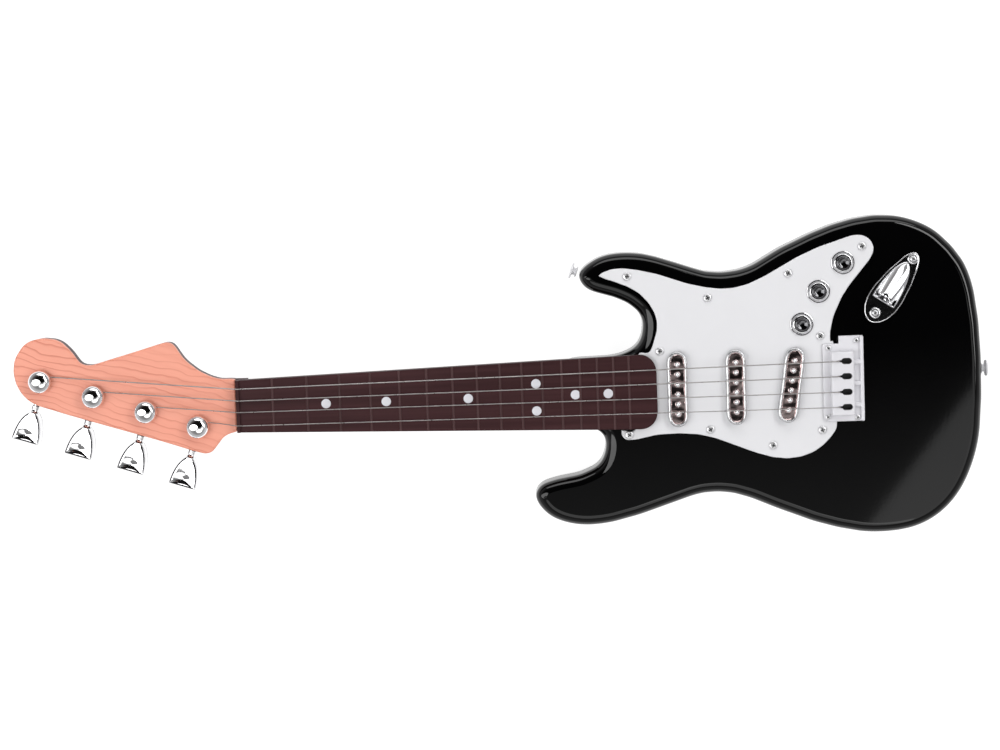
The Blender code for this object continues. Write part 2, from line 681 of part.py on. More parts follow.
def tuner_post(name, post, chrome):
    """A domed post with its gear inside the headstock; its origin is on its axis."""
    profile = [
        (0, 51), (3.6, 50.3), (6.3, 48.4), (7.7, 46), (DOME_RADIUS, DOME_BOTTOM), (2.5, DOME_BOTTOM),
        (2.5, HEAD_TOP + 0.5), (1.9, HEAD_TOP + 0.5), (1.9, 36.6), (1.1, 36), (1.1, 27.2), (0, 27.2),
    ]
    body = turned(name, profile, 10, chrome)
    gear = bevel_gear(False)
    gear.data.transform(Matrix.Translation(Vector((0, 0, SHAFT_HEIGHT)) * MM))
    join(body, gear)
    return place(body, (*post, 0), math.degrees(math.atan2(KEY_DIRECTION.y, KEY_DIRECTION.x)))


def key_half(t):
    """Half the width of a tuner key at a share t of its length from the stem."""
    return KEY_HALF * (1 - (1 - t) ** 1.7) ** (1 / 1.7)


def tuner_key(name, post, chrome):
    """A thick bullet-shaped key, its shaft and its gear; its origin is where shaft and post meet."""
    shares = (0.02, 0.1, 0.25, 0.45, 0.7, 1.0)
    length = KEY_END - KEY_START
    side = [(key_half(t), KEY_START + t * length) for t in shares]
    outline = side + [(-w, z) for w, z in reversed(side)]
    half = KEY_THICK / 2
    rings = []
    for y, narrower in ((-half, 0.93), (1 - half, 1), (half - 1, 1), (half, 0.93)):
        rings.append([Vector((w * narrower, y, z)) for w, z in outline])
    key = loft(name, rings, chrome)
    end = KEY_START + 1.5
    shaft = [(0, 5), (SHAFT_RADIUS, 5), (SHAFT_RADIUS, 18.2), (2.5, 18.4), (2.5, end), (0, end)]
    join(key, turned("tool", shaft, 8), bevel_gear(True))
    key.matrix_world = shaft_matrix(post)
    return key


# ---------------------------------------------------------------- strings and strap buttons

def guitar_string(name, nut_y, bridge_y, post, metal):
    anchor = Vector(post) - KEY_DIRECTION.xy * 3.6
    start = Vector((NUT_X + 1, nut_y))
    share = 14 / (start - anchor).length
    dip = start.lerp(anchor, share)
    low = HEAD_TOP + 1.5
    dip_height = NUT_TOP + 0.75 - (NUT_TOP + 0.75 - low) * min(1, 1.6 * share)
    points = [
        (SLOT_TIP_X + 1.6, bridge_y, BRIDGE_PLATE_TOP + 1.2), (SLOT_TIP_X + 1.6, bridge_y, BLOCK_TOP + 0.2),
        (SLOT_TIP_X + 0.9, bridge_y, BLOCK_TOP + 0.8), (NUT_X + 1, nut_y, NUT_TOP + 0.75),
        (dip.x, dip.y, dip_height), (anchor.x, anchor.y, low),
    ]
    curve = bpy.data.curves.new(name, "CURVE")
    curve.dimensions = "3D"
    curve.bevel_depth = STRING_RADIUS * MM
    curve.bevel_resolution = 1
    curve.use_fill_caps = True
    line = curve.splines.new("POLY")
    line.points.add(len(points) - 1)
    for point, place_mm in zip(line.points, points):
        point.co = (*(Vector(place_mm) * MM), 1)
    curve.materials.append(metal)
    obj = bpy.data.objects.new(name, curve)
    bpy.context.scene.collection.objects.link(obj)
    return obj


def strap_button(name, x, y, degrees, metal):
    profile = [
        (0, 4.9), (5.1, 4.9), (5.6, 4.4), (5.6, 3.9), (4.9, 3.5), (2.5, 3.4), (2.5, 1.3), (3.9, 1),
        (3.9, GAP), (0, GAP),
    ]
    button = turned(name, profile, 12, metal)
    button.data.transform(Matrix.Rotation(math.pi / 2, 4, "Y"))
    return place(button, (x, y, STRAP_HEIGHT), degrees)


# ---------------------------------------------------------------- back and inside

def battery_door(plastic):
    (x0, x1), half = DOOR_X, DOOR_HALF
    outline = rectangle((x0 + GAP, x1 - GAP), (GAP - half, half - GAP))
    door = prism("battery_door", outline, 0.2, DOOR_TOP, plastic)
    return cut(door, rod(DOOR_SCREW, 1.6, -1, 4), rod(DOOR_SCREW, 2.9, -1, 1.4, 10))


def battery_door_screw(metal):
    profile = [(0, 9), (1.2, 8.4), (1.2, 1.2), (2.5, 1.2), (2.5, 0.6), (0, 0.4)]
    return place(turned("battery_door_screw", profile, 8, metal), (*DOOR_SCREW, 0))


def battery_box(plastic):
    """An upside-down tray over the cells, with a solid end for the door's screw."""
    (x0, x1), half = DOOR_X, DOOR_HALF
    outer = rectangle((x0 - 2, x1 + 2), (-half - 2, half + 2))
    box = prism("battery_box", outer, SKIN + GAP, BOX_TOP, plastic)
    space = prism("tool", rectangle((x0 + 0.3, x1 - 10), (0.5 - half, half - 0.5)), 0, BOX_TOP - 1.6)
    return cut(box, space, rod(DOOR_SCREW, 1.5, 0, 12))


def battery_cell(name, y, metal):
    """A cylindrical cell with its raised terminal, along X."""
    end = CELL_LENGTH / 2
    profile = [
        (0, end), (2.6, end), (2.6, end - 1.4), (CELL_RADIUS, end - 1.4), (CELL_RADIUS, -end), (0, -end),
    ]
    cell = turned(name, profile, 12, metal)
    cell.data.transform(Matrix.Rotation(math.pi / 2, 4, "Y"))
    centre_x = (DOOR_X[0] + DOOR_X[1] - 10) / 2
    return place(cell, (centre_x, y, DOOR_TOP + 0.6 + CELL_RADIUS))


def circuit_board(green):
    outline = [Vector(p) for p in ((4, 32), (26, 32), (58, 80), (52, 94), (34, 90), (6, 54))]
    return prism("circuit_board", outline, 26.4, 28, green)


def button_pad(rubber):
    """One rubber sheet with a stub under each sound button."""
    outline = [Vector(p) for p in ((9, 36), (24, 36), (53, 80), (49, 90), (37, 88), (10, 50))]
    pad = prism("button_pad", outline, 28 + GAP, 29.6, rubber)
    return join(pad, *[rod(p, 2.6, 29, 31, 10) for p in BUTTONS])


def loudspeaker(black):
    profile = [
        (0, 21), (13, 21), (14, 20), (14, 13), (22, 8), (SPEAKER_RADIUS, 5.4), (SPEAKER_RADIUS, SKIN + GAP),
        (24, SKIN + GAP), (23, 4), (9, 9), (0, 9),
    ]
    return place(turned("loudspeaker", profile, 16, black), (*SPEAKER, 0))


def power_switch(plastic):
    """The switch's sliding knob on its carrier; its origin is at the off end of its slide."""
    knob = prism("power_switch", rectangle((-2.6, 2.6), (-2.2, 2.2)), 0.6, 4, plastic)
    carrier = prism("tool", rectangle((-8, 8), (-4.5, 4.5)), SKIN + GAP, 5)
    return place(join(knob, carrier), (*SWITCH, 0))


def neck_screw(name, centre, metal):
    profile = [(0, 27.6), (1.4, 26.8), (1.4, 9.7), (3.3, 9.7), (3.3, 8.4), (0, 7.8)]
    return place(turned(name, profile, 8, metal), (*centre, 0))


# ---------------------------------------------------------------- the whole guitar

def build():
    for obj in list(bpy.data.objects):
        bpy.data.objects.remove(obj)
    black = material("black_gloss", (0.01, 0.01, 0.011), 0.12)
    white = material("white_plastic", (0.8, 0.8, 0.82), 0.35)
    chrome = material("chrome", (0.9, 0.9, 0.92), 0.08, 1.0)
    steel = material("steel", (0.6, 0.58, 0.58), 0.3, 1.0)
    brown = material("board_brown", (0.06, 0.03, 0.032), 0.5)
    wood = material("wood_look", (0.93, 0.4, 0.26), 0.45)
    green = material("board_green", (0.03, 0.2, 0.08), 0.5)
    rubber = material("rubber", (0.3, 0.3, 0.3), 0.7)
    cell = material("cell_jacket", (0.1, 0.2, 0.1), 0.3)

    body_front_shell(black)
    body_back_shell(black)
    pickguard(white)
    for number, centre in enumerate(GUARD_SCREWS, 1):
        screw(f"pickguard_screw_{number:02d}", centre, GUARD_TOP, 3.0, 3.6, chrome)
    for name, (x, turn) in PICKUPS.items():
        pickup(f"pickup_{name}", x, turn, chrome)
    for number, centre in enumerate(BUTTONS, 1):
        button_bezel(f"button_bezel_{number}", centre, chrome)
        sound_button(f"sound_button_{number}", centre, chrome)
    bridge(white)
    for number, centre in enumerate(BRIDGE_SCREWS, 1):
        screw(f"bridge_screw_{number}", centre, BRIDGE_PLATE_TOP, 2.0, 5.6, chrome)
    jack_plate(chrome)
    jack_socket(steel)
    for number, centre in enumerate(in_plan(JACK_SCREWS, jack_matrix()), 1):
        screw(f"jack_screw_{number}", centre, FACE + GAP + 1.7, 2.2, 4.4, chrome)

    neck(brown)
    headstock_cover(wood)
    fingerboard(brown)
    for number, post in enumerate(POSTS, 1):
        tuner_post(f"tuner_post_{number}", post, chrome)
        tuner_key(f"tuner_key_{number}", post, chrome)
        nut_y = STRING_NUT_Y[number - 1]
        guitar_string(f"string_{number}", nut_y, STRING_BRIDGE_Y[number - 1], post, steel)
    for name, (x, y, degrees) in STRAP_BUTTONS.items():
        strap_button(f"strap_button_{name}", x, y, degrees, steel)

    battery_door(black)
    battery_door_screw(steel)
    battery_box(black)
    for number, y in enumerate((-15, 0, 15), 1):
        battery_cell(f"battery_cell_{number}", y, cell)
    circuit_board(green)
    button_pad(rubber)
    loudspeaker(black)
    power_switch(black)
    for number, centre in enumerate(NECK_SCREWS, 1):
        neck_screw(f"neck_screw_{number}", centre, steel)


build()
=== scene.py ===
"""The looks of a toy electric guitar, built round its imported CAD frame.

The guitar lies on its back on a pale floor: +X runs from the headstock to the tail, +Y towards the
upper horn and +Z out of the face. Lengths in this script are in millimetres, and MM turns them into
metres. Outlines and most places come from the CAD nodes; finer detail, such as the position dots, is
stated here.
"""

import json
import math

import bmesh
import bpy
from mathutils import Matrix, Vector
from mathutils.geometry import tessellate_polygon


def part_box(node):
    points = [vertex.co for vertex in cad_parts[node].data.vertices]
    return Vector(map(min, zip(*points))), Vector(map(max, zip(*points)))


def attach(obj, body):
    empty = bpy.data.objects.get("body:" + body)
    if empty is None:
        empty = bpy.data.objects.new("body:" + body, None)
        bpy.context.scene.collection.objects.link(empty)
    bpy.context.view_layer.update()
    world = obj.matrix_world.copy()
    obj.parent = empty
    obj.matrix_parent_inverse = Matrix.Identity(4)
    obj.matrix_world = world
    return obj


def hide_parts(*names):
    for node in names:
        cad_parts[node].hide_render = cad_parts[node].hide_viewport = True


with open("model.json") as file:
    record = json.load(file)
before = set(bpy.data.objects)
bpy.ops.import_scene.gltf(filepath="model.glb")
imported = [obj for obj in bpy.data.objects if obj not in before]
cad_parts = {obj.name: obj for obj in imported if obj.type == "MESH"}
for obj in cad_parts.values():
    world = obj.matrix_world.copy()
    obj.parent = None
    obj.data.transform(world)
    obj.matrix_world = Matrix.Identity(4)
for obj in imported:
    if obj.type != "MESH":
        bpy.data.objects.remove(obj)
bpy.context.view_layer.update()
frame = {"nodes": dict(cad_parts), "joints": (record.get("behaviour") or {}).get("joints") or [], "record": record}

MM = 0.001
ROOT = "guitar"
SHARP = math.radians(32)
LEVEL = 0.9999

# Shells, guard and neck
FACE_ROUND = 7.0
BACK_ROUND = 5.0
BACK_DRAFT = 1.5
WALL = 2.4
SKIN = 2.0
WELL_RADIUS = 3.8
WELL_DEPTH = 9.9
BOSS_RADIUS = 5.4
SHELL_SCREW_TIP = 24.0
SCREW_RIM = 0.8
POCKET_START = -200.0
GUARD_ROUND = 0.8
BOARD_ROUND = 1.1
COVER_ROUND = 1.3
TRAY_BOTTOM = 25.0
TRAY_TOP = 38.0
TRAY_INSET = 2.8
TRAY_TAIL = 8.0
DOTS = [(-307.2, 0), (-266.5, 0), (-211, 0), (-165, 8.4), (-165, -10.1), (-138.5, 0), (-116.3, 0)]
DOT_RADIUS = 3.2
FRET_WIDTH = 1.5
FRET_HEIGHT = 0.6
POCKET_LEVEL = 40.5
POCKET_GROWTH = 0.4
POCKET_BOTTOM = 20.4
POCKET_TOP = 60.0
NECK_END = -118.0
NECK_LEVEL_END = -145.0
HEEL_LEVEL = 21.8
HEEL_TOP = 41.8

# Fittings
BEZEL_BORE = 5.2
BEZEL_SLEEVE = 6.1
KEYHOLE_RADIUS = 2.05
# Upper side of a bridge keyhole, from the centre of its round end
KEYHOLE = [(-7.9, 0.25), (-4.7, 0.85), (-4.2, 1.6), (-3.4, KEYHOLE_RADIUS)]
CHANNEL_RIBS = [15.5, 1.0, -13.4]  # places along Y
BRIDGE_FOOT_START = 41.0
BRIDGE_RAIL_START = 54.5
JACK_TURN = 56.5  # degrees
SCOOP_BASE = -11.3
SCOOP_TIP = 18.6
SCOOP_HALF = 7.9
SCOOP_DEPTH = 6.3
SCOOP_FOCUS = Vector((-5.4, 0))
COLLAR_BORE = 2.55
COLLAR_RADIUS = 3.6
# Number and radius of each string
STRINGS = [(1, 0.40), (2, 0.37), (3, 0.34), (4, 0.31)]
STRING_END_HEIGHT = 45.6
DOOR_SEAT = 2.9
DOOR_SEAT_DEPTH = 1.2
DOOR_BORE = 1.6
DOOR_RIDGES = 6
RIDGE_HEIGHT = 0.19
SWITCH_KNOB = (2.6, 2.2)

# Tuners
POST_DOME = 7.85
KEY_SHAFT_END = 17.5
KEY_START = 22.4
KEY_END = 43.2
KEY_HALF = 9.3
KEY_THICK = 14.0
KEY_BULGE = 1.95
KEY_FOCUS = 0.78
KEY_DENT = 0.9
KEY_DISH = [  # share of the way in from the rim, and depth
    (0.1, 0.05), (0.25, 0.12), (0.42, 0.2), (0.56, 0.27), (0.68, 0.32), (0.78, 0.35), (0.86, 0.37),
    (0.93, 0.38), (0.98, 0.38),
]

# Colours, linear
BLACK = (0.0010, 0.0010, 0.0011)
GUARD_WHITE = (0.757, 0.757, 0.775)
BRIDGE_WHITE = (0.735, 0.730, 0.760)
BROWN = (0.046, 0.0195, 0.021)
# The frets' colour: the board's brown made lighter, a painted highlight on the frets
FRET_HIGHLIGHT = (0.080, 0.043, 0.044)
DOT_WHITE = (0.66, 0.66, 0.70)
WOOD = (0.815, 0.335, 0.235)
WOOD_DARK = (0.60, 0.17, 0.105)
CHROME = (0.90, 0.90, 0.91)
STEEL = (0.86, 0.86, 0.87)
# Dark steel for the screws' cross recesses: painted shade in the recess
RECESS_SHADE = (0.10, 0.10, 0.105)
# Dark plating: a painted dark reflection, on the sound buttons and on facets of the jack scoop
DARK_REFLECTION = (0.12, 0.12, 0.125)
# Dark plating for the keys' rim groove and lip: painted shade along the key rims
KEY_SHADE_LINE = (0.03, 0.03, 0.032)
SATIN = (0.66, 0.66, 0.67)
# Pink-tinted plating for the pickup floors: a painted brownish reflection
RIPPLED_PINK_REFLECTION = (0.62, 0.50, 0.49)
STRING = (0.42, 0.40, 0.39)
STRAP_GREY = (0.72, 0.72, 0.74)
CELL_BLACK = (0.02, 0.02, 0.022)
CELL_COPPER = (0.6, 0.31, 0.09)
FLOOR_WHITE = (0.30, 0.30, 0.30)

HEAD_SLOPE = 18.0  # degrees from the neck to the headstock's wood grain

# Floor, lights and camera, in metres
FLOOR_GLOW = 0.92
FLOOR_SIZE = 6.0
KEY_LIGHTS = [  # place, size and radiance of each soft panel
    ((-1.10, -0.10, 1.50), (1.1, 1.8), 2.6),
    ((1.15, 0.65, 1.60), (2.0, 0.6), 4.4),
    ((0.0, 1.80, 1.10), (2.4, 0.8), 2.0),
    ((-0.10, -0.80, 1.45), (1.2, 0.8), 0.9),
]
# Radiance of the sky by the sine of its height, and what is added by its direction along Y
SKY_BY_HEIGHT = [
    (0.0, (0.40, 0.40, 0.41)), (0.38, (0.36, 0.36, 0.37)), (0.6, (0.12, 0.11, 0.11)),
    (0.8, (0.009, 0.008, 0.008)), (1.0, (0.002, 0.002, 0.002)),
]
SKY_BY_SIDE = [(0.0, 0.12), (0.2, 0.20), (0.36, 0.28), (0.415, 0.28), (0.447, 0.06), (0.457, 0.0)]
SHEEN_EDGE = ((0.134, -0.002), (0.0573, -0.0988))
SHEEN_HEIGHT = 1.8
SHEEN_SIZE = 0.8
SHEEN_RADIANCE = 0.90
CAMERA = Vector((-0.1831, 0.1779, 1.745))
CAMERA_AIM = Vector((-0.1890, 0.0150, 0.045))
CAMERA_UP = Vector((0.0359, 0.9993, 0))
LENS = 90.9
FACE_HEIGHT = 0.04


# ---- outlines

def edge_loops(edges):
    """The closed loops that these mesh edges make, as lists of vertices."""
    beside = {}
    for edge in edges:
        a, b = edge.verts
        beside.setdefault(a, []).append(b)
        beside.setdefault(b, []).append(a)
    seen = set()
    loops = []
    for first in beside:
        if first in seen:
            continue
        loop = [first]
        seen.add(first)
        while True:
            onward = [v for v in beside[loop[-1]] if v not in seen]
            if not onward:
                break
            loop.append(onward[0])
            seen.add(onward[0])
        loops.append(loop)
    return loops


def cad_mesh(node):
    """A CAD node's mesh, in metres, with its doubled vertices merged."""
    bm = bmesh.new()
    bm.from_mesh(frame["nodes"][node].data)
    bmesh.ops.remove_doubles(bm, verts=bm.verts, dist=1e-6)
    return bm


def sliced(bm, place, normal, **settings):
    everything = bm.verts[:] + bm.edges[:] + bm.faces[:]
    return bmesh.ops.bisect_plane(bm, geom=everything, plane_co=place, plane_no=normal, **settings)


def section(node, level, axis=2):
    """The closed outlines, in mm, of a CAD node cut across an axis, the longest span first."""
    bm = cad_mesh(node)
    normal = Vector([1.0 if i == axis else 0.0 for i in range(3)])
    cut = sliced(bm, normal * level * MM, normal)
    edges = [e for e in cut["geom_cut"] if isinstance(e, bmesh.types.BMEdge)]
    keep = [i for i in range(3) if i != axis]
    outlines = []
    for loop in edge_loops(edges):
        outlines.append(counter_clockwise([Vector([v.co[i] / MM for i in keep]) for v in loop]))
    bm.free()
    return sorted(outlines, key=span, reverse=True)


def box(node):
    """The lowest and highest corner of a CAD node, in mm."""
    return [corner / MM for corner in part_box(node)]


def heights(node):
    """The lowest and highest level of a CAD node, in mm."""
    return [corner.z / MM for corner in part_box(node)]


def round_part(node):
    """A round CAD node's centre seen from above, radius, bottom and top, in mm."""
    low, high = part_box(node)
    return ((low + high) / 2 / MM).xy, (high.x - low.x) / 2 / MM, low.z / MM, high.z / MM


def span(outline):
    low, high = limits(outline)
    return (high - low).length


def limits(outline):
    """The lowest and highest corner of an outline's box."""
    xs = [p.x for p in outline]
    ys = [p.y for p in outline]
    return Vector((min(xs), min(ys))), Vector((max(xs), max(ys)))


def middle(outline):
    low, high = limits(outline)
    return (low + high) / 2


def counter_clockwise(outline):
    twice = sum(a.cross(b) for a, b in zip(outline, outline[1:] + outline[:1]))
    return outline if twice > 0 else outline[::-1]


def is_corner(outline, i, angle):
    come = outline[i] - outline[i - 1]
    leave = outline[(i + 1) % len(outline)] - outline[i]
    return abs(come.angle_signed(leave, 0.0)) > math.radians(angle)


def through(a, b, c, d, share):
    """A point between b and c on the centripetal curve through four points."""
    t0 = 0.0
    t1 = t0 + max((b - a).length, 1e-6) ** 0.5
    t2 = t1 + max((c - b).length, 1e-6) ** 0.5
    t3 = t2 + max((d - c).length, 1e-6) ** 0.5
    t = t1 + share * (t2 - t1)
    ab = a * ((t1 - t) / (t1 - t0)) + b * ((t - t0) / (t1 - t0))
    bc = b * ((t2 - t) / (t2 - t1)) + c * ((t - t1) / (t2 - t1))
    cd = c * ((t3 - t) / (t3 - t2)) + d * ((t - t2) / (t3 - t2))
    abc = ab * ((t2 - t) / (t2 - t0)) + bc * ((t - t0) / (t2 - t0))
    bcd = bc * ((t3 - t) / (t3 - t1)) + cd * ((t - t1) / (t3 - t1))
    return abc * ((t2 - t) / (t2 - t1)) + bcd * ((t - t1) / (t2 - t1))


def smooth(outline, spacing, corner=50, passes=3):
    """The outline redrawn as a smooth curve of closely spaced points, its sharp corners kept."""
    count = len(outline)
    sharp = [is_corner(outline, i, corner) for i in range(count)]
    points = []
    fixed = []
    for i in range(count):
        b, c = outline[i], outline[(i + 1) % count]
        a = b - (c - b) if sharp[i] else outline[i - 1]
        d = c + (c - b) if sharp[(i + 1) % count] else outline[(i + 2) % count]
        steps = max(1, round((c - b).length / spacing))
        for k in range(steps):
            points.append(through(a, b, c, d, k / steps))
            fixed.append(sharp[i] and k == 0)
    for _ in range(passes):
        eased = []
        for i, here in enumerate(points):
            around = (points[i - 1] + points[(i + 1) % len(points)]) / 2
            eased.append(here if fixed[i] else here.lerp(around, 0.5))
        points = eased
    return points


def inset(outline, distance):
    """The outline moved inwards, and by less where it curves too tightly for that."""
    if not distance:
        return list(outline)
    count = len(outline)
    inwards = []
    depths = []
    for i, here in enumerate(outline):
        come = here - outline[i - 1]
        leave = outline[(i + 1) % count] - here
        tangent = (come.normalized() + leave.normalized()).normalized()
        inwards.append(Vector((-tangent.y, tangent.x)))
        turn = come.cross(leave) / max(come.length * leave.length, 1e-9)
        if distance < 0:
            turn = -turn
        bend = math.asin(max(-1.0, min(1.0, turn)))
        reach = min(come.length, leave.length)
        depths.append(min(abs(distance), 0.8 * reach / bend) if bend > 0.01 else abs(distance))
    for step in (1, -1):
        for k in range(2 * count):
            i = (step * k) % count
            before = (i - step) % count
            room = 0.5 * (outline[i] - outline[before]).length
            depths[i] = min(depths[i], depths[before] + room)
    side = 1 if distance > 0 else -1
    return [here + inward * side * depth for here, inward, depth in zip(outline, inwards, depths)]


def beyond(outline, x):
    """The part of an outline that lies past x."""
    kept = []
    for a, b in zip(outline, outline[1:] + outline[:1]):
        if a.x > x:
            kept.append(a)
        if (a.x > x) != (b.x > x):
            kept.append(a.lerp(b, (x - a.x) / (b.x - a.x)))
    return kept


def rounded_corners(outline, radius, steps=5, corner=50):
    """The outline with its sharp corners, and only those, turned into arcs."""
    count = len(outline)
    points = []
    for i, here in enumerate(outline):
        if not is_corner(outline, i, corner):
            points.append(here)
            continue
        before = outline[i - 1]
        after = outline[(i + 1) % count]
        reach = min(radius, 0.45 * (here - before).length, 0.45 * (after - here).length)
        start = here + (before - here).normalized() * reach
        end = here + (after - here).normalized() * reach
        for k in range(steps + 1):
            share = k / steps
            points.append(start.lerp(here, share).lerp(here.lerp(end, share), share))
    return points


def circle(centre, radius, sides=32):
    angles = [math.tau * i / sides for i in range(sides)]
    return [Vector((centre[0] + radius * math.cos(a), centre[1] + radius * math.sin(a))) for a in angles]


def rectangle(low, high):
    return [Vector(low), Vector((high[0], low[1])), Vector(high), Vector((low[0], high[1]))]


def arc(centre, radii, start, end, steps):
    """Points along an elliptical arc, the angles in degrees."""
    points = []
    for k in range(steps + 1):
        angle = math.radians(start + (end - start) * k / steps)
        points.append((centre[0] + radii[0] * math.cos(angle), centre[1] + radii[1] * math.sin(angle)))
    return points


def rounded_top(top, radius, steps):
    """Steps of (inset, height) over a rounded edge onto a flat top, with one flat step after it."""
    curve = [(radius - x, top - radius + z) for x, z in arc((0, 0), (radius, radius), 0, 90, steps)]
    return curve + [(radius + 0.3, top)]


# ---- meshes

class Shape:
    """A closed mesh under construction, in mm."""

    def __init__(self):
        self.bm = bmesh.new()
        self.finish = 0

    def face(self, vertices):
        face = self.bm.faces.new(vertices)
        face.material_index = self.finish

    def ring(self, outline, height):
        return [self.bm.verts.new((p[0], p[1], height)) for p in outline]

    def row(self, points):
        return [self.bm.verts.new(p) for p in points]

    def band(self, a, b):
        """Quads between two rings of equal length."""
        for i in range(len(a)):
            j = (i + 1) % len(a)
            self.face((a[i], a[j], b[j], b[i]))

    def bands(self, rings):
        for a, b in zip(rings, rings[1:]):
            self.band(a, b)

    def sheet(self, rings):
        """A flat face inside the first ring and outside the others."""
        vertices = [v for ring in rings for v in ring]
        for triangle in tessellate_polygon([[v.co for v in ring] for ring in rings]):
            if len(set(triangle)) == 3:
                self.face([vertices[i] for i in triangle])

    def loft(self, outline, steps, capped=True):
        """The outline carried through steps of (inset, height)."""
        rings = [self.ring(inset(outline, depth), height) for depth, height in steps]
        self.bands(rings)
        if capped:
            self.face(rings[0])
            self.face(rings[-1])
        return rings

    def turned(self, profile, sides, centre=(0, 0)):
        """A lathe shape about Z from a profile of (radius, height); radius 0 makes a point."""
        rings = []
        for radius, height in profile:
            if radius == 0:
                rings.append(self.row([(centre[0], centre[1], height)]))
            else:
                rings.append(self.ring(circle(centre, radius, sides), height))
        for a, b in zip(rings, rings[1:]):
            if len(a) == 1 or len(b) == 1:
                tip, edge = (a[0], b) if len(a) == 1 else (b[0], a)
                for i in range(len(edge)):
                    self.face((tip, edge[i], edge[(i + 1) % len(edge)]))
            else:
                self.band(a, b)
        return rings

    def hoop(self, profile, centre, sides):
        """A lathe shape with a hole through it, its profile closed on itself."""
        rings = [self.ring(circle(centre, radius, sides), height) for radius, height in profile]
        self.bands(rings + [rings[0]])

    def tube(self, path, radius, sides=10):
        """A round rod along a path of 3-D points."""
        rings = []
        side = None
        for i, here in enumerate(path):
            before = path[max(i - 1, 0)]
            after = path[min(i + 1, len(path) - 1)]
            along = (after - before).normalized()
            side = along.orthogonal() if side is None else side - along * side.dot(along)
            side.normalize()
            over = along.cross(side)
            ring = []
            for k in range(sides):
                angle = math.tau * k / sides
                ring.append(here + (side * math.cos(angle) + over * math.sin(angle)) * radius)
            rings.append(self.row(ring))
        self.bands(rings)
        self.face(rings[0])
        self.face(rings[-1])

    def piece(self, name, materials, nodes=(), body=ROOT, matrix=None):
        """Ends the shape as a piece that rides on a body and stands for these CAD nodes."""
        bmesh.ops.remove_doubles(self.bm, verts=self.bm.verts, dist=1e-4)
        bmesh.ops.recalc_face_normals(self.bm, faces=self.bm.faces)
        mesh = bpy.data.meshes.new(name)
        self.bm.to_mesh(mesh)
        self.bm.free()
        if matrix is not None:
            mesh.transform(matrix)
        mesh.transform(Matrix.Scale(MM, 4))
        for material in materials:
            mesh.materials.append(material)
        obj = placed(name, mesh)
        soften(mesh)
        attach(obj, body)
        if nodes:
            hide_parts(*nodes)
        return obj

    def look(self, node, materials, body=ROOT, matrix=None):
        """Ends the shape as the piece that stands for one CAD node."""
        return self.piece(node + "_look", materials, (node,), body, matrix)


def placed(name, data):
    """A new object in the scene for this mesh, light or camera."""
    obj = bpy.data.objects.new(name, data)
    bpy.context.scene.collection.objects.link(obj)
    return obj


def soften(mesh):
    """Smooth shading, but for sharp edges and level faces."""
    mesh.shade_smooth()
    mesh.set_sharp_from_angle(angle=SHARP)
    for face in mesh.polygons:
        if abs(face.normal.z) > LEVEL:
            face.use_smooth = False


def carve(obj, tool_shape):
    """Cuts a closed shape out of a finished piece."""
    mesh = bpy.data.meshes.new("tool")
    bmesh.ops.recalc_face_normals(tool_shape.bm, faces=tool_shape.bm.faces)
    tool_shape.bm.to_mesh(mesh)
    tool_shape.bm.free()
    mesh.transform(Matrix.Scale(MM, 4))
    tool = placed("tool", mesh)
    cut = obj.modifiers.new("cut", "BOOLEAN")
    cut.operation = "DIFFERENCE"
    cut.solver = "EXACT"
    cut.use_hole_tolerant = True
    cut.object = tool
    shapes = bpy.context.evaluated_depsgraph_get()
    result = bpy.data.meshes.new_from_object(obj.evaluated_get(shapes))
    obj.modifiers.clear()
    obj.data = result
    bpy.data.objects.remove(tool)
    soften(obj.data)


# ---- materials

def colour_ramp(tree, factor, stops):
    """Colours or greys set along a factor from 0 to 1."""
    ramp = tree.nodes.new("ShaderNodeValToRGB")
    elements = ramp.color_ramp.elements
    while len(elements) < len(stops):
        elements.new(0.5)
    for element, (position, value) in zip(elements, stops):
        colour = value if isinstance(value, tuple) else (value, value, value)
        element.position = position
        element.color = (*colour, 1)
    tree.links.new(factor, ramp.inputs["Fac"])
    return ramp.outputs["Color"]


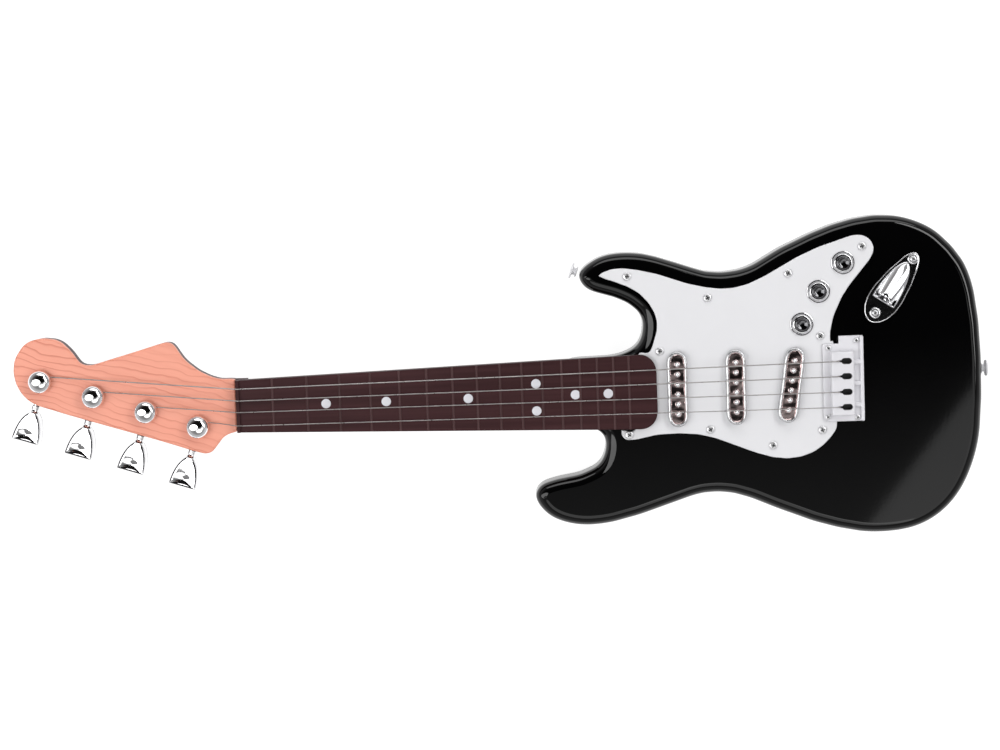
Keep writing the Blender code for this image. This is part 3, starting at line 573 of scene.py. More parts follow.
class Surface:
    """A node material round one Principled shader."""

    def __init__(self, name, metallic=0.0, roughness=0.4, coat=0.0, specular=0.5):
        self.material = bpy.data.materials.new(name)
        self.material.use_nodes = True
        self.tree = self.material.node_tree
        self.shader = self.tree.nodes["Principled BSDF"]
        values = {"Metallic": metallic, "Roughness": roughness, "Coat Weight": coat}
        self.fill(self.shader, values | {"Specular IOR Level": specular})
        self.place = self.tree.nodes.new("ShaderNodeTexCoord").outputs["Object"]

    def fill(self, node, values):
        for key, value in values.items():
            node.inputs[key].default_value = value

    def node(self, kind, values=None, **settings):
        """A new node with these values in its inputs and these settings."""
        node = self.tree.nodes.new(kind)
        self.fill(node, values or {})
        for key, value in settings.items():
            setattr(node, key, value)
        return node

    def join(self, output, target):
        self.tree.links.new(output, target)

    def mapped(self, stretch=(1, 1, 1), turn=0.0, shift=(0, 0, 0)):
        """The place on the object, turned about Z in degrees and then stretched."""
        values = {"Rotation": (0, 0, math.radians(turn)), "Location": shift}
        turned = self.node("ShaderNodeMapping", values)
        self.join(self.place, turned.inputs["Vector"])
        scaled = self.node("ShaderNodeMapping", {"Scale": stretch})
        self.join(turned.outputs["Vector"], scaled.inputs["Vector"])
        return scaled.outputs["Vector"]

    def noise(self, scale, detail=3.0, where=None, distortion=0.0, rough=0.5):
        values = {"Scale": scale, "Detail": detail, "Roughness": rough, "Distortion": distortion}
        noise = self.node("ShaderNodeTexNoise", values)
        self.join(self.place if where is None else where, noise.inputs["Vector"])
        return noise.outputs["Fac"]

    def ramp(self, factor, stops):
        return colour_ramp(self.tree, factor, stops)

    def between(self, factor, low, high):
        """A factor from 0 to 1 carried to a number from low to high."""
        spread = self.node("ShaderNodeMapRange", {"To Min": low, "To Max": high})
        self.join(factor, spread.inputs["Value"])
        return spread.outputs["Result"]

    def mixed(self, factor, a, b, blend="MIX"):
        mix = self.node("ShaderNodeMix", data_type="RGBA", blend_type=blend)
        for value, socket in ((factor, mix.inputs[0]), (a, mix.inputs[6]), (b, mix.inputs[7])):
            if isinstance(value, bpy.types.NodeSocket):
                self.join(value, socket)
            else:
                socket.default_value = (*value, 1) if isinstance(value, tuple) else value
        return mix.outputs[2]

    def colour(self, output):
        self.join(output, self.shader.inputs["Base Color"])

    def tinted(self, factor, colour, dark, bright):
        """Colours the surface from dark to bright times a colour along a factor."""
        self.colour(self.ramp(factor, [(0.3, shade(colour, dark)), (0.7, shade(colour, bright))]))

    def bump(self, heights):
        """Relief from pairs of (height output, depth in mm)."""
        normal = None
        for height, depth in heights:
            bump = self.node("ShaderNodeBump", {"Strength": 1.0, "Distance": depth * MM})
            self.join(height, bump.inputs["Height"])
            if normal is not None:
                self.join(normal, bump.inputs["Normal"])
            normal = bump.outputs["Normal"]
        self.join(normal, self.shader.inputs["Normal"])

    def finished(self, factor, low, high, heights):
        """The material, its roughness carried from low to high by a factor and its relief added."""
        self.join(self.between(factor, low, high), self.shader.inputs["Roughness"])
        self.bump(heights)
        return self.material


def shade(colour, factor):
    return tuple(min(1.0, c * factor) for c in colour)


def moulded(name, colour, rough=(0.3, 0.4), mottle=0.05, grain=0.01, coat=0.0, specular=0.5):
    """Moulded plastic: faint flow marks in its colour, fine wiped scratches and a slight orange peel."""
    s = Surface(name, coat=coat, specular=specular)
    flow = s.noise(38, 4, distortion=0.6)
    s.colour(s.ramp(flow, [(0.25, shade(colour, 1 - mottle)), (0.75, shade(colour, 1 + mottle))]))
    scratches = s.noise(900, 3, s.mapped((1, 0.04, 1), 24))
    wiped = s.noise(26, 5)
    relief = [(s.noise(420, 2), grain), (s.noise(60, 2), grain * 0.8)]
    return s.finished(s.mixed(0.45, wiped, scratches), rough[0], rough[1], relief)


def plated(name, colour, rough=(0.03, 0.1), ripple=0.008):
    """Bright plating: clean, with slight haze, wiped marks and a gently uneven surface."""
    s = Surface(name, metallic=1.0)
    haze = s.noise(70, 4)
    s.tinted(haze, colour, 0.93, 1)
    marks = s.noise(1500, 2, s.mapped((1, 0.06, 1), -31))
    relief = [(s.noise(110, 1), ripple), (s.noise(900, 2), 0.0007)]
    return s.finished(s.mixed(0.4, haze, marks), rough[0], rough[1], relief)


def wood_print():
    """Printed wood: long wavering growth lines that follow the headstock, over a warm mottle."""
    s = Surface("wood_print", roughness=0.34, coat=0.05, specular=0.3)

    def stretched(x, y=1.0, shift=(0, 0, 0)):
        return s.mapped((x, y, 1), HEAD_SLOPE, shift)

    wander = s.node("ShaderNodeVectorMath", operation="ADD")
    push = s.node("ShaderNodeVectorMath", operation="MULTIPLY")
    push.inputs[1].default_value = (0.0, 0.030, 0.0)
    s.join(s.noise(15, 2, stretched(0.55, 1.2)), push.inputs[0])
    s.join(stretched(1.0), wander.inputs[0])
    s.join(push.outputs["Vector"], wander.inputs[1])
    values = {"Scale": 62, "Distortion": 5.5, "Detail": 2, "Detail Scale": 0.7}
    kind = "ShaderNodeTexWave"
    lines = s.node(kind, values, wave_type="BANDS", bands_direction="Y", wave_profile="SAW")
    s.join(wander.outputs["Vector"], lines.inputs["Vector"])
    fine = s.noise(240, 3, stretched(0.05))
    patch = s.noise(32, 3, stretched(0.3))
    base = s.ramp(patch, [(0.3, WOOD), (0.7, shade(WOOD, 1.06))])
    strength = s.ramp(lines.outputs["Fac"], [(0.0, 0.0), (0.72, 0.04), (0.94, 1.0), (1.0, 0.2)])
    broken = s.ramp(s.noise(22, 2, stretched(0.4, shift=(0.3, 0.1, 0))), [(0.38, 0.12), (0.62, 1.0)])
    grain = s.mixed(s.mixed(1.0, strength, broken, "MULTIPLY"), base, WOOD_DARK)
    s.colour(s.mixed(s.ramp(fine, [(0.45, 0.0), (0.85, 0.28)]), grain, WOOD_DARK))
    return s.finished(fine, 0.3, 0.42, [(fine, 0.02), (s.noise(300, 2), 0.01)])


def streaked(name, colour, turn=0.0):
    """Brown moulded plastic with a faint straight grain along its length."""
    s = Surface(name, specular=0.05)
    grain = s.noise(260, 4, s.mapped((0.035, 1, 1), turn))
    wide = s.noise(30, 3, s.mapped((0.2, 1, 1), turn))
    tint = s.mixed(0.35, grain, wide)
    s.tinted(tint, colour, 0.72, 1.28)
    return s.finished(grain, 0.3, 0.44, [(grain, 0.03), (s.noise(700, 2), 0.006)])


def wound(name, colour):
    """A bright string wound with fine wire across its length."""
    s = Surface(name, metallic=0.85, roughness=0.3)
    turns = s.node("ShaderNodeTexWave", {"Scale": 900}, wave_type="BANDS", bands_direction="X")
    s.join(s.place, turns.inputs["Vector"])
    s.tinted(s.noise(180, 2), colour, 0.85, 1.15)
    return s.finished(s.noise(400, 2), 0.22, 0.38, [(turns.outputs["Fac"], 0.05)])


def printed_board(name):
    """Green circuit board with paler tracks and round pads."""
    s = Surface(name, roughness=0.35, coat=0.3)
    tracks = s.node("ShaderNodeTexBrick", {
        "Scale": 190, "Mortar Size": 0.04, "Color1": (0.012, 0.11, 0.035, 1),
        "Color2": (0.016, 0.14, 0.045, 1), "Mortar": (0.03, 0.22, 0.07, 1),
    })
    s.join(s.place, tracks.inputs["Vector"])
    pads = s.node("ShaderNodeTexVoronoi", {"Scale": 210})
    s.join(s.place, pads.inputs["Vector"])
    dots = s.ramp(pads.outputs["Distance"], [(0.12, 1.0), (0.16, 0.0)])
    s.colour(s.mixed(dots, tracks.outputs["Color"], (0.55, 0.52, 0.45)))
    return s.finished(s.noise(200, 2), 0.3, 0.5, [(dots, 0.05)])


def cell_jacket(name):
    """A plain two-tone battery wrap with bare metal at its ends."""
    s = Surface(name, roughness=0.3, metallic=0.2)
    split = s.node("ShaderNodeSeparateXYZ")
    s.join(s.place, split.inputs["Vector"])
    low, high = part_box("battery_cell_1")  # in metres, as the shader sees the place
    share = s.node("ShaderNodeMapRange", {"From Min": low.x, "From Max": high.x})
    s.join(split.outputs["X"], share.inputs["Value"])
    band = s.ramp(share.outputs["Result"], [
        (0.0, STEEL), (0.02, CELL_BLACK), (0.66, CELL_BLACK), (0.68, CELL_COPPER), (0.96, STEEL),
    ])
    s.colour(s.mixed(s.between(s.noise(300, 3), 0.0, 0.15), band, (0.2, 0.2, 0.2)))
    return s.finished(s.noise(120, 3), 0.25, 0.4, [(s.noise(300, 2), 0.01)])


def paper_cone(name):
    """Pressed speaker paper with fibres and fine rings."""
    s = Surface(name, roughness=0.85, specular=0.2)
    fibres = s.noise(900, 5, rough=0.7)
    s.colour(s.ramp(fibres, [(0.3, (0.012, 0.012, 0.012)), (0.75, (0.035, 0.034, 0.033))]))
    return s.finished(fibres, 0.7, 0.95, [(fibres, 0.08)])


def pale_floor():
    """A plain seamless studio floor."""
    s = Surface("studio_floor", roughness=0.65, specular=0.15)
    s.tinted(s.noise(6, 3), FLOOR_WHITE, 0.98, 1)
    s.fill(s.shader, {"Emission Color": (1, 1, 1, 1), "Emission Strength": FLOOR_GLOW})
    return s.finished(s.noise(30, 3), 0.6, 0.75, [(s.noise(700, 3), 0.02)])


black_gloss = moulded("black_gloss", BLACK, rough=(0.03, 0.06), mottle=0.12, grain=0.002, specular=0.42)
guard_plastic = moulded("guard_plastic", GUARD_WHITE, mottle=0.012, grain=0.008, coat=0.15)
bridge_plastic = moulded("bridge_plastic", BRIDGE_WHITE, rough=(0.25, 0.36), mottle=0.012, coat=0.2)
black_matte = moulded("black_matte", (0.016, 0.016, 0.017), rough=(0.5, 0.65), mottle=0.15, grain=0.03)
rubber = moulded("rubber", (0.22, 0.22, 0.22), rough=(0.7, 0.85), mottle=0.08, grain=0.03, specular=0.3)
strap_plastic = moulded("strap_plastic", STRAP_GREY, rough=(0.28, 0.4), coat=0.2)
dot_plastic = moulded("dot_plastic", DOT_WHITE, rough=(0.25, 0.4))
board_brown = streaked("board_brown", BROWN)
# The frets are the board's own brown plastic, coloured lighter as a painted highlight.
fret_highlight = streaked("fret_highlight", FRET_HIGHLIGHT, 90)
wood = wood_print()
chrome = plated("chrome", CHROME)
steel = plated("steel", STEEL, rough=(0.24, 0.38))
recess_shade = plated("recess_shade", RECESS_SHADE, rough=(0.3, 0.45))
# Dark plating that paints in dark reflections, on the sound buttons and the jack scoop's base
painted_dark_reflection = plated("painted_dark_reflection", DARK_REFLECTION, rough=(0.06, 0.13))
satin = plated("satin", SATIN, rough=(0.18, 0.26))
rippled_pink_reflection = plated("rippled_pink_reflection", RIPPLED_PINK_REFLECTION, rough=(0.08, 0.16), ripple=0.6)
# Dark plating that paints the shade line round the tuner keys' rims
key_shade_line = plated("key_shade_line", KEY_SHADE_LINE, rough=(0.2, 0.3))
string_metal = wound("string_metal", STRING)
cone_paper = paper_cone("cone_paper")
board_green = printed_board("board_green")
jacket = cell_jacket("jacket")


# ---- body shells

def is_round(outline, radius):
    low, high = limits(outline)
    return abs(high.x - low.x - 2 * radius) < 0.3 and abs(high.y - low.y - 2 * radius) < 0.3


def half_shell(name, node, outline, face, seam, round_mm, holes, draft):
    """A hollow half of the body, from its flat face to the seam; screw wells get a floor and a boss."""
    side = 1 if face > seam else -1
    shape = Shape()
    turn_in = arc((0, 0), (round_mm, round_mm), 90, 0, 9)
    edge = [(round_mm - x + draft, face - side * (round_mm - z)) for x, z in turn_in]
    steps = [(round_mm + draft + 0.4, face)] + edge
    steps += [(0, seam + side * 0.35), (0.35, seam), (WALL, seam)]
    steps += [(WALL, face - side * round_mm), (WALL + 1.5, face - side * (SKIN + 1.2))]
    steps.append((round_mm, face - side * SKIN))
    rings = shape.loft(outline, steps, capped=False)
    outer_holes = []
    inner_holes = []
    for hole in holes:
        well = is_round(hole, WELL_RADIUS)
        mouth = circle(middle(hole), WELL_RADIUS) if well else rounded_corners(hole, 0.8)
        lip = shape.ring(inset(mouth, -0.3), face)
        wall = shape.ring(mouth, face - side * 0.3)
        shape.band(lip, wall)
        outer_holes.append(lip)
        if well:
            floor = shape.ring(mouth, face - side * WELL_DEPTH)
            shape.band(wall, floor)
            shape.face(floor)
            boss = circle(middle(hole), BOSS_RADIUS)
            foot = shape.ring(boss, face - side * SKIN)
            top = shape.ring(boss, face - side * (WELL_DEPTH + 1.2))
            shape.band(foot, top)
            shape.face(top)
            inner_holes.append(foot)
        else:
            end = shape.ring(mouth, face - side * SKIN)
            shape.band(wall, end)
            inner_holes.append(end)
    shape.sheet([rings[0]] + outer_holes)
    shape.sheet([rings[-1]] + inner_holes)
    return shape.piece(name, [black_gloss], (node,))


def body():
    """Both halves of the body; the front one is open where the neck lies in it."""
    front_low, front_high = heights("body_front_shell")
    outline = smooth(section("body_back_shell", 15)[0], 1.4, corner=60, passes=6)
    half_shell("body_back", "body_back_shell", outline, 0.0, heights("body_back_shell")[1], BACK_ROUND,
               section("body_back_shell", 1)[1:], BACK_DRAFT)
    front = half_shell("body_front", "body_front_shell", outline, front_high, front_low, FACE_ROUND,
                       section("body_front_shell", front_high - 0.6)[1:], 0.0)
    pocket = Shape()
    neck_end = beyond(section("neck", POCKET_LEVEL)[0], POCKET_START)
    pocket.loft(inset(neck_end, -POCKET_GROWTH), [(0, POCKET_BOTTOM), (0, POCKET_TOP)])
    carve(front, pocket)


body()


# ---- screws

def wide_part(node):
    """A screw's centre, head radius and the heights between which it has that radius, in mm."""
    centre, radius, _, _ = round_part(node)
    levels = []
    for vertex in frame["nodes"][node].data.vertices:
        place = vertex.co / MM
        if math.hypot(place.x - centre.x, place.y - centre.y) > SCREW_RIM * radius:
            levels.append(place.z)
    return centre, radius, min(levels), max(levels)


def screw_shape(shape, centre, radius, seat, crown, tip, turn):
    """A domed screw with a cross recess, plated dark inside as painted shade; seat is under its head, crown its
    highest point.
    """
    side = 1 if crown > seat else -1
    thick = abs(crown - seat)
    shaft = 0.36 * radius
    profile = [(0, tip), (shaft * 0.5, tip), (shaft, tip + side * shaft), (shaft, seat)]
    profile.append((radius * 0.96, seat))
    curve = arc((0.62, 0), (0.38, 1), 0, 90, 5)
    profile += [(radius * x, seat + side * thick * (0.25 + 0.75 * z)) for x, z in curve]
    rings = shape.turned(profile, 24, centre)
    arm, long = 0.12 * radius, 0.52 * radius
    quarter = [(long, -arm), (long, arm), (arm, arm)]
    cross = []
    for k in range(4):
        spin = Matrix.Rotation(math.radians(90 * k + turn), 2)
        cross += [Vector(centre) + spin @ Vector(p) for p in quarter]
    mouth = shape.ring(cross, crown)
    narrow = [Vector(centre) + (p - Vector(centre)) * 0.5 for p in cross]
    floor = shape.ring(narrow, crown - side * 0.62 * thick)
    shape.sheet([rings[-1], mouth])
    # The cross recess takes the dark steel: painted shade inside it.
    shape.finish = 1
    shape.band(mouth, floor)
    shape.face(floor)
    shape.finish = 0


def cad_screw(node, turn):
    centre, radius, low, high = wide_part(node)
    bottom, top = heights(node)
    faces_up = high - bottom > top - low
    seat, crown, tip = (low, top, bottom) if faces_up else (high, bottom, top)
    shape = Shape()
    screw_shape(shape, centre, radius, seat, crown, tip, turn)
    shape.look(node, [steel, recess_shade])


def screws():
    """Every CAD screw, and a body screw in each well that holds none of the neck's."""
    nodes = sorted(n for n in frame["nodes"] if "screw" in n)
    for number, node in enumerate(nodes):
        cad_screw(node, 17 + 37 * number % 90)
    taken = [wide_part(n)[0] for n in nodes if n.startswith("neck")]
    _, radius, low, high = wide_part("neck_screw_1")
    wells = [middle(hole) for hole in section("body_back_shell", 1)[1:] if is_round(hole, WELL_RADIUS)]
    for number, centre in enumerate(wells, 1):
        if min((centre - other).length for other in taken) > 1:
            shape = Shape()
            screw_shape(shape, centre, radius, high, low - 0.6, SHELL_SCREW_TIP, 29 * number % 90)
            shape.piece(f"shell_screw_{number}", [steel, recess_shade])


screws()


# ---- guard, pickups and buttons

def guard():
    low, high = heights("pickguard")
    outlines = section("pickguard", (low + high) / 2)
    shape = Shape()
    edge = smooth(outlines[0], 1.2, corner=75, passes=3)
    rings = shape.loft(edge, [(0, low)] + rounded_top(high, GUARD_ROUND, 5), capped=False)
    tops = []
    bottoms = []
    for hole in outlines[1:]:
        mouth = circle(middle(hole), span(hole) / math.sqrt(8))
        tops.append(shape.ring(mouth, high))
        bottoms.append(shape.ring(mouth, low))
        shape.band(tops[-1], bottoms[-1])
    shape.sheet([rings[-1]] + tops)
    shape.sheet([rings[0]] + bottoms)
    shape.piece("guard", [guard_plastic], ("pickguard",))


guard()


def pickup(node):
    """A plated oval tray: a fat rounded rim, a mirror floor tinted pink as a painted reflection, and a row of
    round studs.
    """
    low, high = heights(node)
    outline = smooth(section(node, low + 2)[0], 1.0, corner=60, passes=2)
    studs = [middle(loop) for loop in section(node, high - 0.9)]
    rim = low + 4.9
    floor = low + 3.3
    shape = Shape()
    steps = [(0.7, low), (0.05, low + 0.25), (0, low + 0.7), (0.15, rim - 1.5)]
    steps += [(1.25 - x, z) for x, z in arc((0, rim - 1.1), (1.1, 1.1), 0, 90, 6)]
    steps += [(1.35 + x, z) for x, z in reversed(arc((0, rim - 0.8), (0.8, 0.8), 0, 80, 5))]
    rings = shape.loft(outline, steps, capped=False)
    shape.face(rings[0])
    # The floor's plating is tinted pink as a painted brownish reflection; its ripples are relief.
    shape.finish = 1
    tray_steps = ((2.35, floor + 0.25), (2.7, floor), (3.1, floor))
    tray = [shape.ring(inset(outline, d), z) for d, z in tray_steps]
    shape.bands([rings[-1]] + tray)
    shape.face(tray[-1])
    shape.finish = 2
    for centre in studs:
        profile = [(0, floor - 0.6), (2.0, floor - 0.6), (2.0, floor + 0.3)]
        profile += arc((0, floor + 0.3), (2.0, high - floor - 0.3), 12, 78, 6) + [(0, high)]
        shape.turned(profile, 20, centre)
    shape.look(node, [satin, rippled_pink_reflection, chrome])


for node in ("pickup_neck", "pickup_middle", "pickup_bridge"):
    pickup(node)


def bezel(node):
    centre, outer, bottom, top = round_part(node)
    base = top - 2.2
    profile = [(BEZEL_SLEEVE, bottom), (BEZEL_SLEEVE, base), (outer - 0.15, base), (outer, base + 0.2)]
    profile += [(outer, base + 0.45), (outer - 0.12, base + 0.65), (outer - 0.3, base + 0.72)]
    profile += [(outer - 0.75, base + 0.72), (outer - 0.85, base + 0.8)]
    rim = [(0.75, top - 0.22), (0.5, top - 0.08), (0.3, top - 0.05), (0.1, top - 0.2), (0, top - 0.5)]
    profile += [(BEZEL_BORE + x, z) for x, z in rim + [(0, bottom)]]
    shape = Shape()
    shape.hoop(profile, centre, 48)
    shape.look(node, [chrome])


def sound_button(node):
    """A plated push button with a rounded rim and a dished middle; its plating is dark, a painted reflection of a
    dark ceiling.
    """
    centre, flange, bottom, top = round_part(node)
    cap = BEZEL_BORE - 0.3
    profile = [(0, bottom), (2.0, bottom), (2.0, bottom + 1.2), (flange, bottom + 1.2)]
    profile += [(flange, bottom + 2.4), (cap, bottom + 2.4), (cap, top - 1.1)]
    profile += [(cap - 1.1 + x, z) for x, z in arc((0, top - 1.1), (1.1, 1.1), 15, 90, 6)]
    profile += [(cap - 1.6, top - 0.12), (cap - 2.2, top - 0.5), (cap - 3.4, top - 0.78), (0, top - 0.85)]
    shape = Shape()
    shape.turned(profile, 48, centre)
    shape.look(node, [painted_dark_reflection], body=node)


for number in (1, 2, 3):
    bezel(f"button_bezel_{number}")
    sound_button(f"sound_button_{number}")


# ---- bridge

def keyhole(x, y):
    """A slot that starts as a point and widens to a round-ended hole, about the hole's centre."""
    upper = [Vector((x + u, y + v)) for u, v in KEYHOLE]
    round_end = arc((0, 0), (KEYHOLE_RADIUS, KEYHOLE_RADIUS), 90, -90, 10)
    end = [Vector((x + u, y + v)) for u, v in round_end]
    lower = [Vector((p.x, 2 * y - p.y)) for p in reversed(upper)]
    return counter_clockwise(upper + end + lower)


def bridge():
    low, high = heights("bridge")
    plate_top = low + 4.0
    plate = section("bridge", plate_top - 0.4)[0]
    plate_low, plate_high = limits(plate)
    outline = rounded_corners(plate, 0.8, corner=60)
    shape = Shape()
    shape.loft(outline, [(0, plate_top - 2), (0, plate_top - 0.7)] + rounded_top(plate_top, 0.7, 4))
    foot = rectangle((BRIDGE_FOOT_START, plate_low.y + 0.2), (plate_high.x - 0.2, plate_high.y - 0.2))
    shape.loft(foot, [(0, low), (0, plate_top - 1.6)])
    block, *mouth_outlines = section("bridge", high - 1)
    holes = sorted((middle(hole).y, limits(hole)[1].x - KEYHOLE_RADIUS) for hole in mouth_outlines)
    block_low, block_high = limits(block)
    body = smooth(rounded_corners(rectangle(block_low, block_high), 1.0), 1.2, corner=80, passes=0)
    steps = [(-0.2, plate_top - 0.9), (-0.05, plate_top + 0.6)] + rounded_top(high, 1.3, 6)
    rings = shape.loft(body, steps, capped=False)
    shape.face(rings[0])
    mouths = []
    for y, x in holes:
        slot = keyhole(x, y)
        mouth = shape.ring(inset(slot, -0.25), high)
        wall = shape.ring(slot, high - 0.3)
        shape.band(mouth, wall)
        # Painted shade: below the mouth each keyhole's walls and floor are black matte, as dark as the holes'
        # shaded insides.
        shape.finish = 1
        deep = shape.ring(slot, high - 1.2)
        floor = shape.ring(slot, plate_top + 0.3)
        shape.band(wall, deep)
        shape.band(deep, floor)
        shape.face(floor)
        shape.finish = 0
        mouths.append(mouth)
    shape.sheet([rings[-1]] + mouths)
    rail_top = plate_top + 2.2
    rail_ends = (BRIDGE_RAIL_START, plate_low.y + 0.1), (plate_high.x - 0.05, plate_high.y - 0.4)
    rail = rounded_corners(rectangle(*rail_ends), 1.0)
    shape.loft(rail, [(0, plate_top - 0.5), (0, rail_top - 0.8)] + rounded_top(rail_top, 0.8, 4))
    for y in CHANNEL_RIBS:
        rib = rectangle((block_high.x - 0.6, y - 1.45), (BRIDGE_RAIL_START + 0.5, y + 1.45))
        shape.loft(rib, [(0, plate_top - 0.4), (0, rail_top - 0.7), (0.4, rail_top - 0.3)])
    shape.look("bridge", [bridge_plastic, black_matte])


bridge()


# ---- jack plate

def scoop_outline(steps=16):
    """The bullet-shaped mouth of the scoop: a straight base and bowed sides that meet in a round tip."""
    length = SCOOP_TIP - SCOOP_BASE
    side = []
    for k in range(steps + 1):
        share = math.sin(math.pi / 2 * k / steps)
        half = SCOOP_HALF * max(0.0, 1 - share ** 2.3) ** 0.62
        side.append(Vector((SCOOP_BASE + share * length, -half)))
    other = [Vector((p.x, -p.y)) for p in side[-2::-1]]
    base = [Vector((SCOOP_BASE, SCOOP_HALF * (1 - k / 4))) for k in range(1, 8)]
    return counter_clockwise(side + other + base)


def jack_plate():
    high = heights("jack_plate")[1]
    base = high - 2.6
    turn_back = Matrix.Rotation(math.radians(-JACK_TURN), 2)
    local = [turn_back @ p for p in section("jack_plate", base + 1.2)[0]]
    centre = middle(local)
    outline = smooth(counter_clockwise([p - centre for p in local]), 1.0, corner=60, passes=3)
    flat = high - 0.95
    shape = Shape()
    bead = [(0.4 - x, z) for x, z in arc((0, high - 0.5), (0.4, 0.5), 0, 90, 5)]
    bead += [(0.4 + x, z) for x, z in reversed(arc((0, high - 0.5), (0.3, 0.5), 0, 80, 4))]
    steps = [(1.2, base), (0, base + 0.3)] + bead + [(0.78, flat), (1.2, flat)]
    rings = shape.loft(outline, steps, capped=False)
    mouth = scoop_outline()
    lip = shape.ring(inset(mouth, -0.75), flat)
    shape.sheet([rings[-1], lip])
    bowl_steps = ((-0.55, flat + 0.25), (-0.3, flat + 0.35), (0, flat + 0.1))
    bowl = [lip] + [shape.ring(inset(mouth, d), z) for d, z in bowl_steps]
    for share, sink in ((0.05, 0.16), (0.15, 0.42), (0.3, 0.66), (0.5, 0.85), (0.75, 0.97), (0.93, 1.0)):
        row = []
        for p in mouth:
            at = p.lerp(SCOOP_FOCUS, share)
            deep = SCOOP_DEPTH * (SCOOP_TIP - at.x) / (SCOOP_TIP - SCOOP_BASE)
            row.append((at.x, at.y, flat - deep * sink))
        bowl.append(shape.row(row))
    shape.bands(bowl[:5])
    for a, b in zip(bowl[4:], bowl[5:]):
        for i, p in enumerate(mouth):
            j = (i + 1) % len(mouth)
            on_base = max(p.x, mouth[j].x) < SCOOP_BASE + 0.1
            # Two of every three faces on the scoop's base wall take the dark plating: painted dark reflections in
            # facets.
            shape.finish = 1 if on_base and i % 3 else 0
            shape.face((a[i], a[j], b[j], b[i]))
    shape.finish = 0
    shape.face(bowl[-1])
    for node in ("jack_screw_1", "jack_screw_2"):
        spot = turn_back @ wide_part(node)[0] - centre
        collar = [(COLLAR_BORE, flat - 0.1), (COLLAR_BORE, flat + 0.25)]
        collar += arc((COLLAR_RADIUS - 0.5, flat + 0.1), (0.5, 0.45), 150, 10, 5)
        shape.hoop(collar + [(COLLAR_RADIUS, flat - 0.1)], spot, 32)
    under = shape.ring(inset(mouth, -1.2), base)
    shape.sheet([rings[0], under])
    deep_ring = shape.ring(inset(mouth, -1.0), flat - SCOOP_DEPTH - 1)
    shape.band(under, deep_ring)
    shape.face(deep_ring)
    place = Matrix.Rotation(math.radians(JACK_TURN), 4, "Z") @ Matrix.Translation((centre.x, centre.y, 0))
    shape.look("jack_plate", [chrome, painted_dark_reflection], matrix=place)


jack_plate()


# ---- neck, fingerboard and headstock

board_low, board_high = box("fingerboard")
board_top = limits(section("fingerboard", -90, axis=0)[0])[1].y
cover_middle = sum(heights("headstock_cover")) / 2
cover = smooth(section("headstock_cover", cover_middle)[0], 1.1, corner=35, passes=4)


def level_clusters(node, low, high):
    """Middle x of each group of a node's vertices that lie between two heights, in order."""
    xs = sorted(v.co.x / MM for v in frame["nodes"][node].data.vertices if low < v.co.z / MM < high)
    groups = []
    for x in xs:
        if groups and x - groups[-1][-1] < 2.0:
            groups[-1].append(x)
        else:
            groups.append([x])
    return [(group[0] + group[-1]) / 2 for group in groups]


def board_half(x):
    """Half the fingerboard's width at x, from its CAD outline."""
    low, high = limits(section("fingerboard", x, axis=0)[0])
    return (high.x - low.x) / 2


def fret(shape, x, half):
    """A rounded bar across the neck with sloping ends."""
    profile = arc((x, board_top), (FRET_WIDTH / 2, FRET_HEIGHT), 180, 0, 6)
    foot = board_top - 0.5
    rows = []
    for y, scale in ((-half, 0.3), (-half + 0.25, 0.55), (-half + 0.8, 1.0), (half - 0.8, 1.0),
                     (half - 0.25, 0.55), (half, 0.3)):
        row = [(px, y, foot + (pz - board_top + 0.5) * scale) for px, pz in profile]
        row += [(x + side * FRET_WIDTH / 2, y, board_top - 0.8) for side in (1, -1)]
        rows.append(shape.row(row))
    shape.bands(rows)
    shape.face(rows[0])
    shape.face(rows[-1])


def fingerboard():
    outline = smooth(section("fingerboard", board_low.z + 1.5)[0], 1.5, corner=60, passes=3)
    shape = Shape()
    shape.loft(outline, [(0.3, board_low.z), (0, board_low.z + 0.3), (0, board_top - BOARD_ROUND)]
               + rounded_top(board_top, BOARD_ROUND, 5))
    # The frets are the board's own plastic, coloured lighter as a painted highlight.
    shape.finish = 1
    frets = level_clusters("fingerboard", board_top + 0.4, board_top + 1.0)
    for x in frets:
        fret(shape, x, board_half(x) - 0.15)
    shape.finish = 0
    nut_half = board_half(board_low.x + 1)
    nut = rounded_corners(rectangle((board_low.x, -nut_half), (board_low.x + 2.4, nut_half)), 0.5)
    shape.loft(nut, [(0, board_low.z + 0.5), (0, board_high.z - 0.6)] + rounded_top(board_high.z, 0.6, 4))
    shape.look("fingerboard", [board_brown, fret_highlight])
    dots = Shape()
    for place in DOTS:
        profile = [(0, board_top - 0.5), (DOT_RADIUS, board_top - 0.5), (DOT_RADIUS, board_top + 0.04),
                   (DOT_RADIUS - 0.25, board_top + 0.13), (0, board_top + 0.18)]
        dots.turned(profile, 32, place)
    dots.piece("fingerboard_dots", [dot_plastic])


fingerboard()


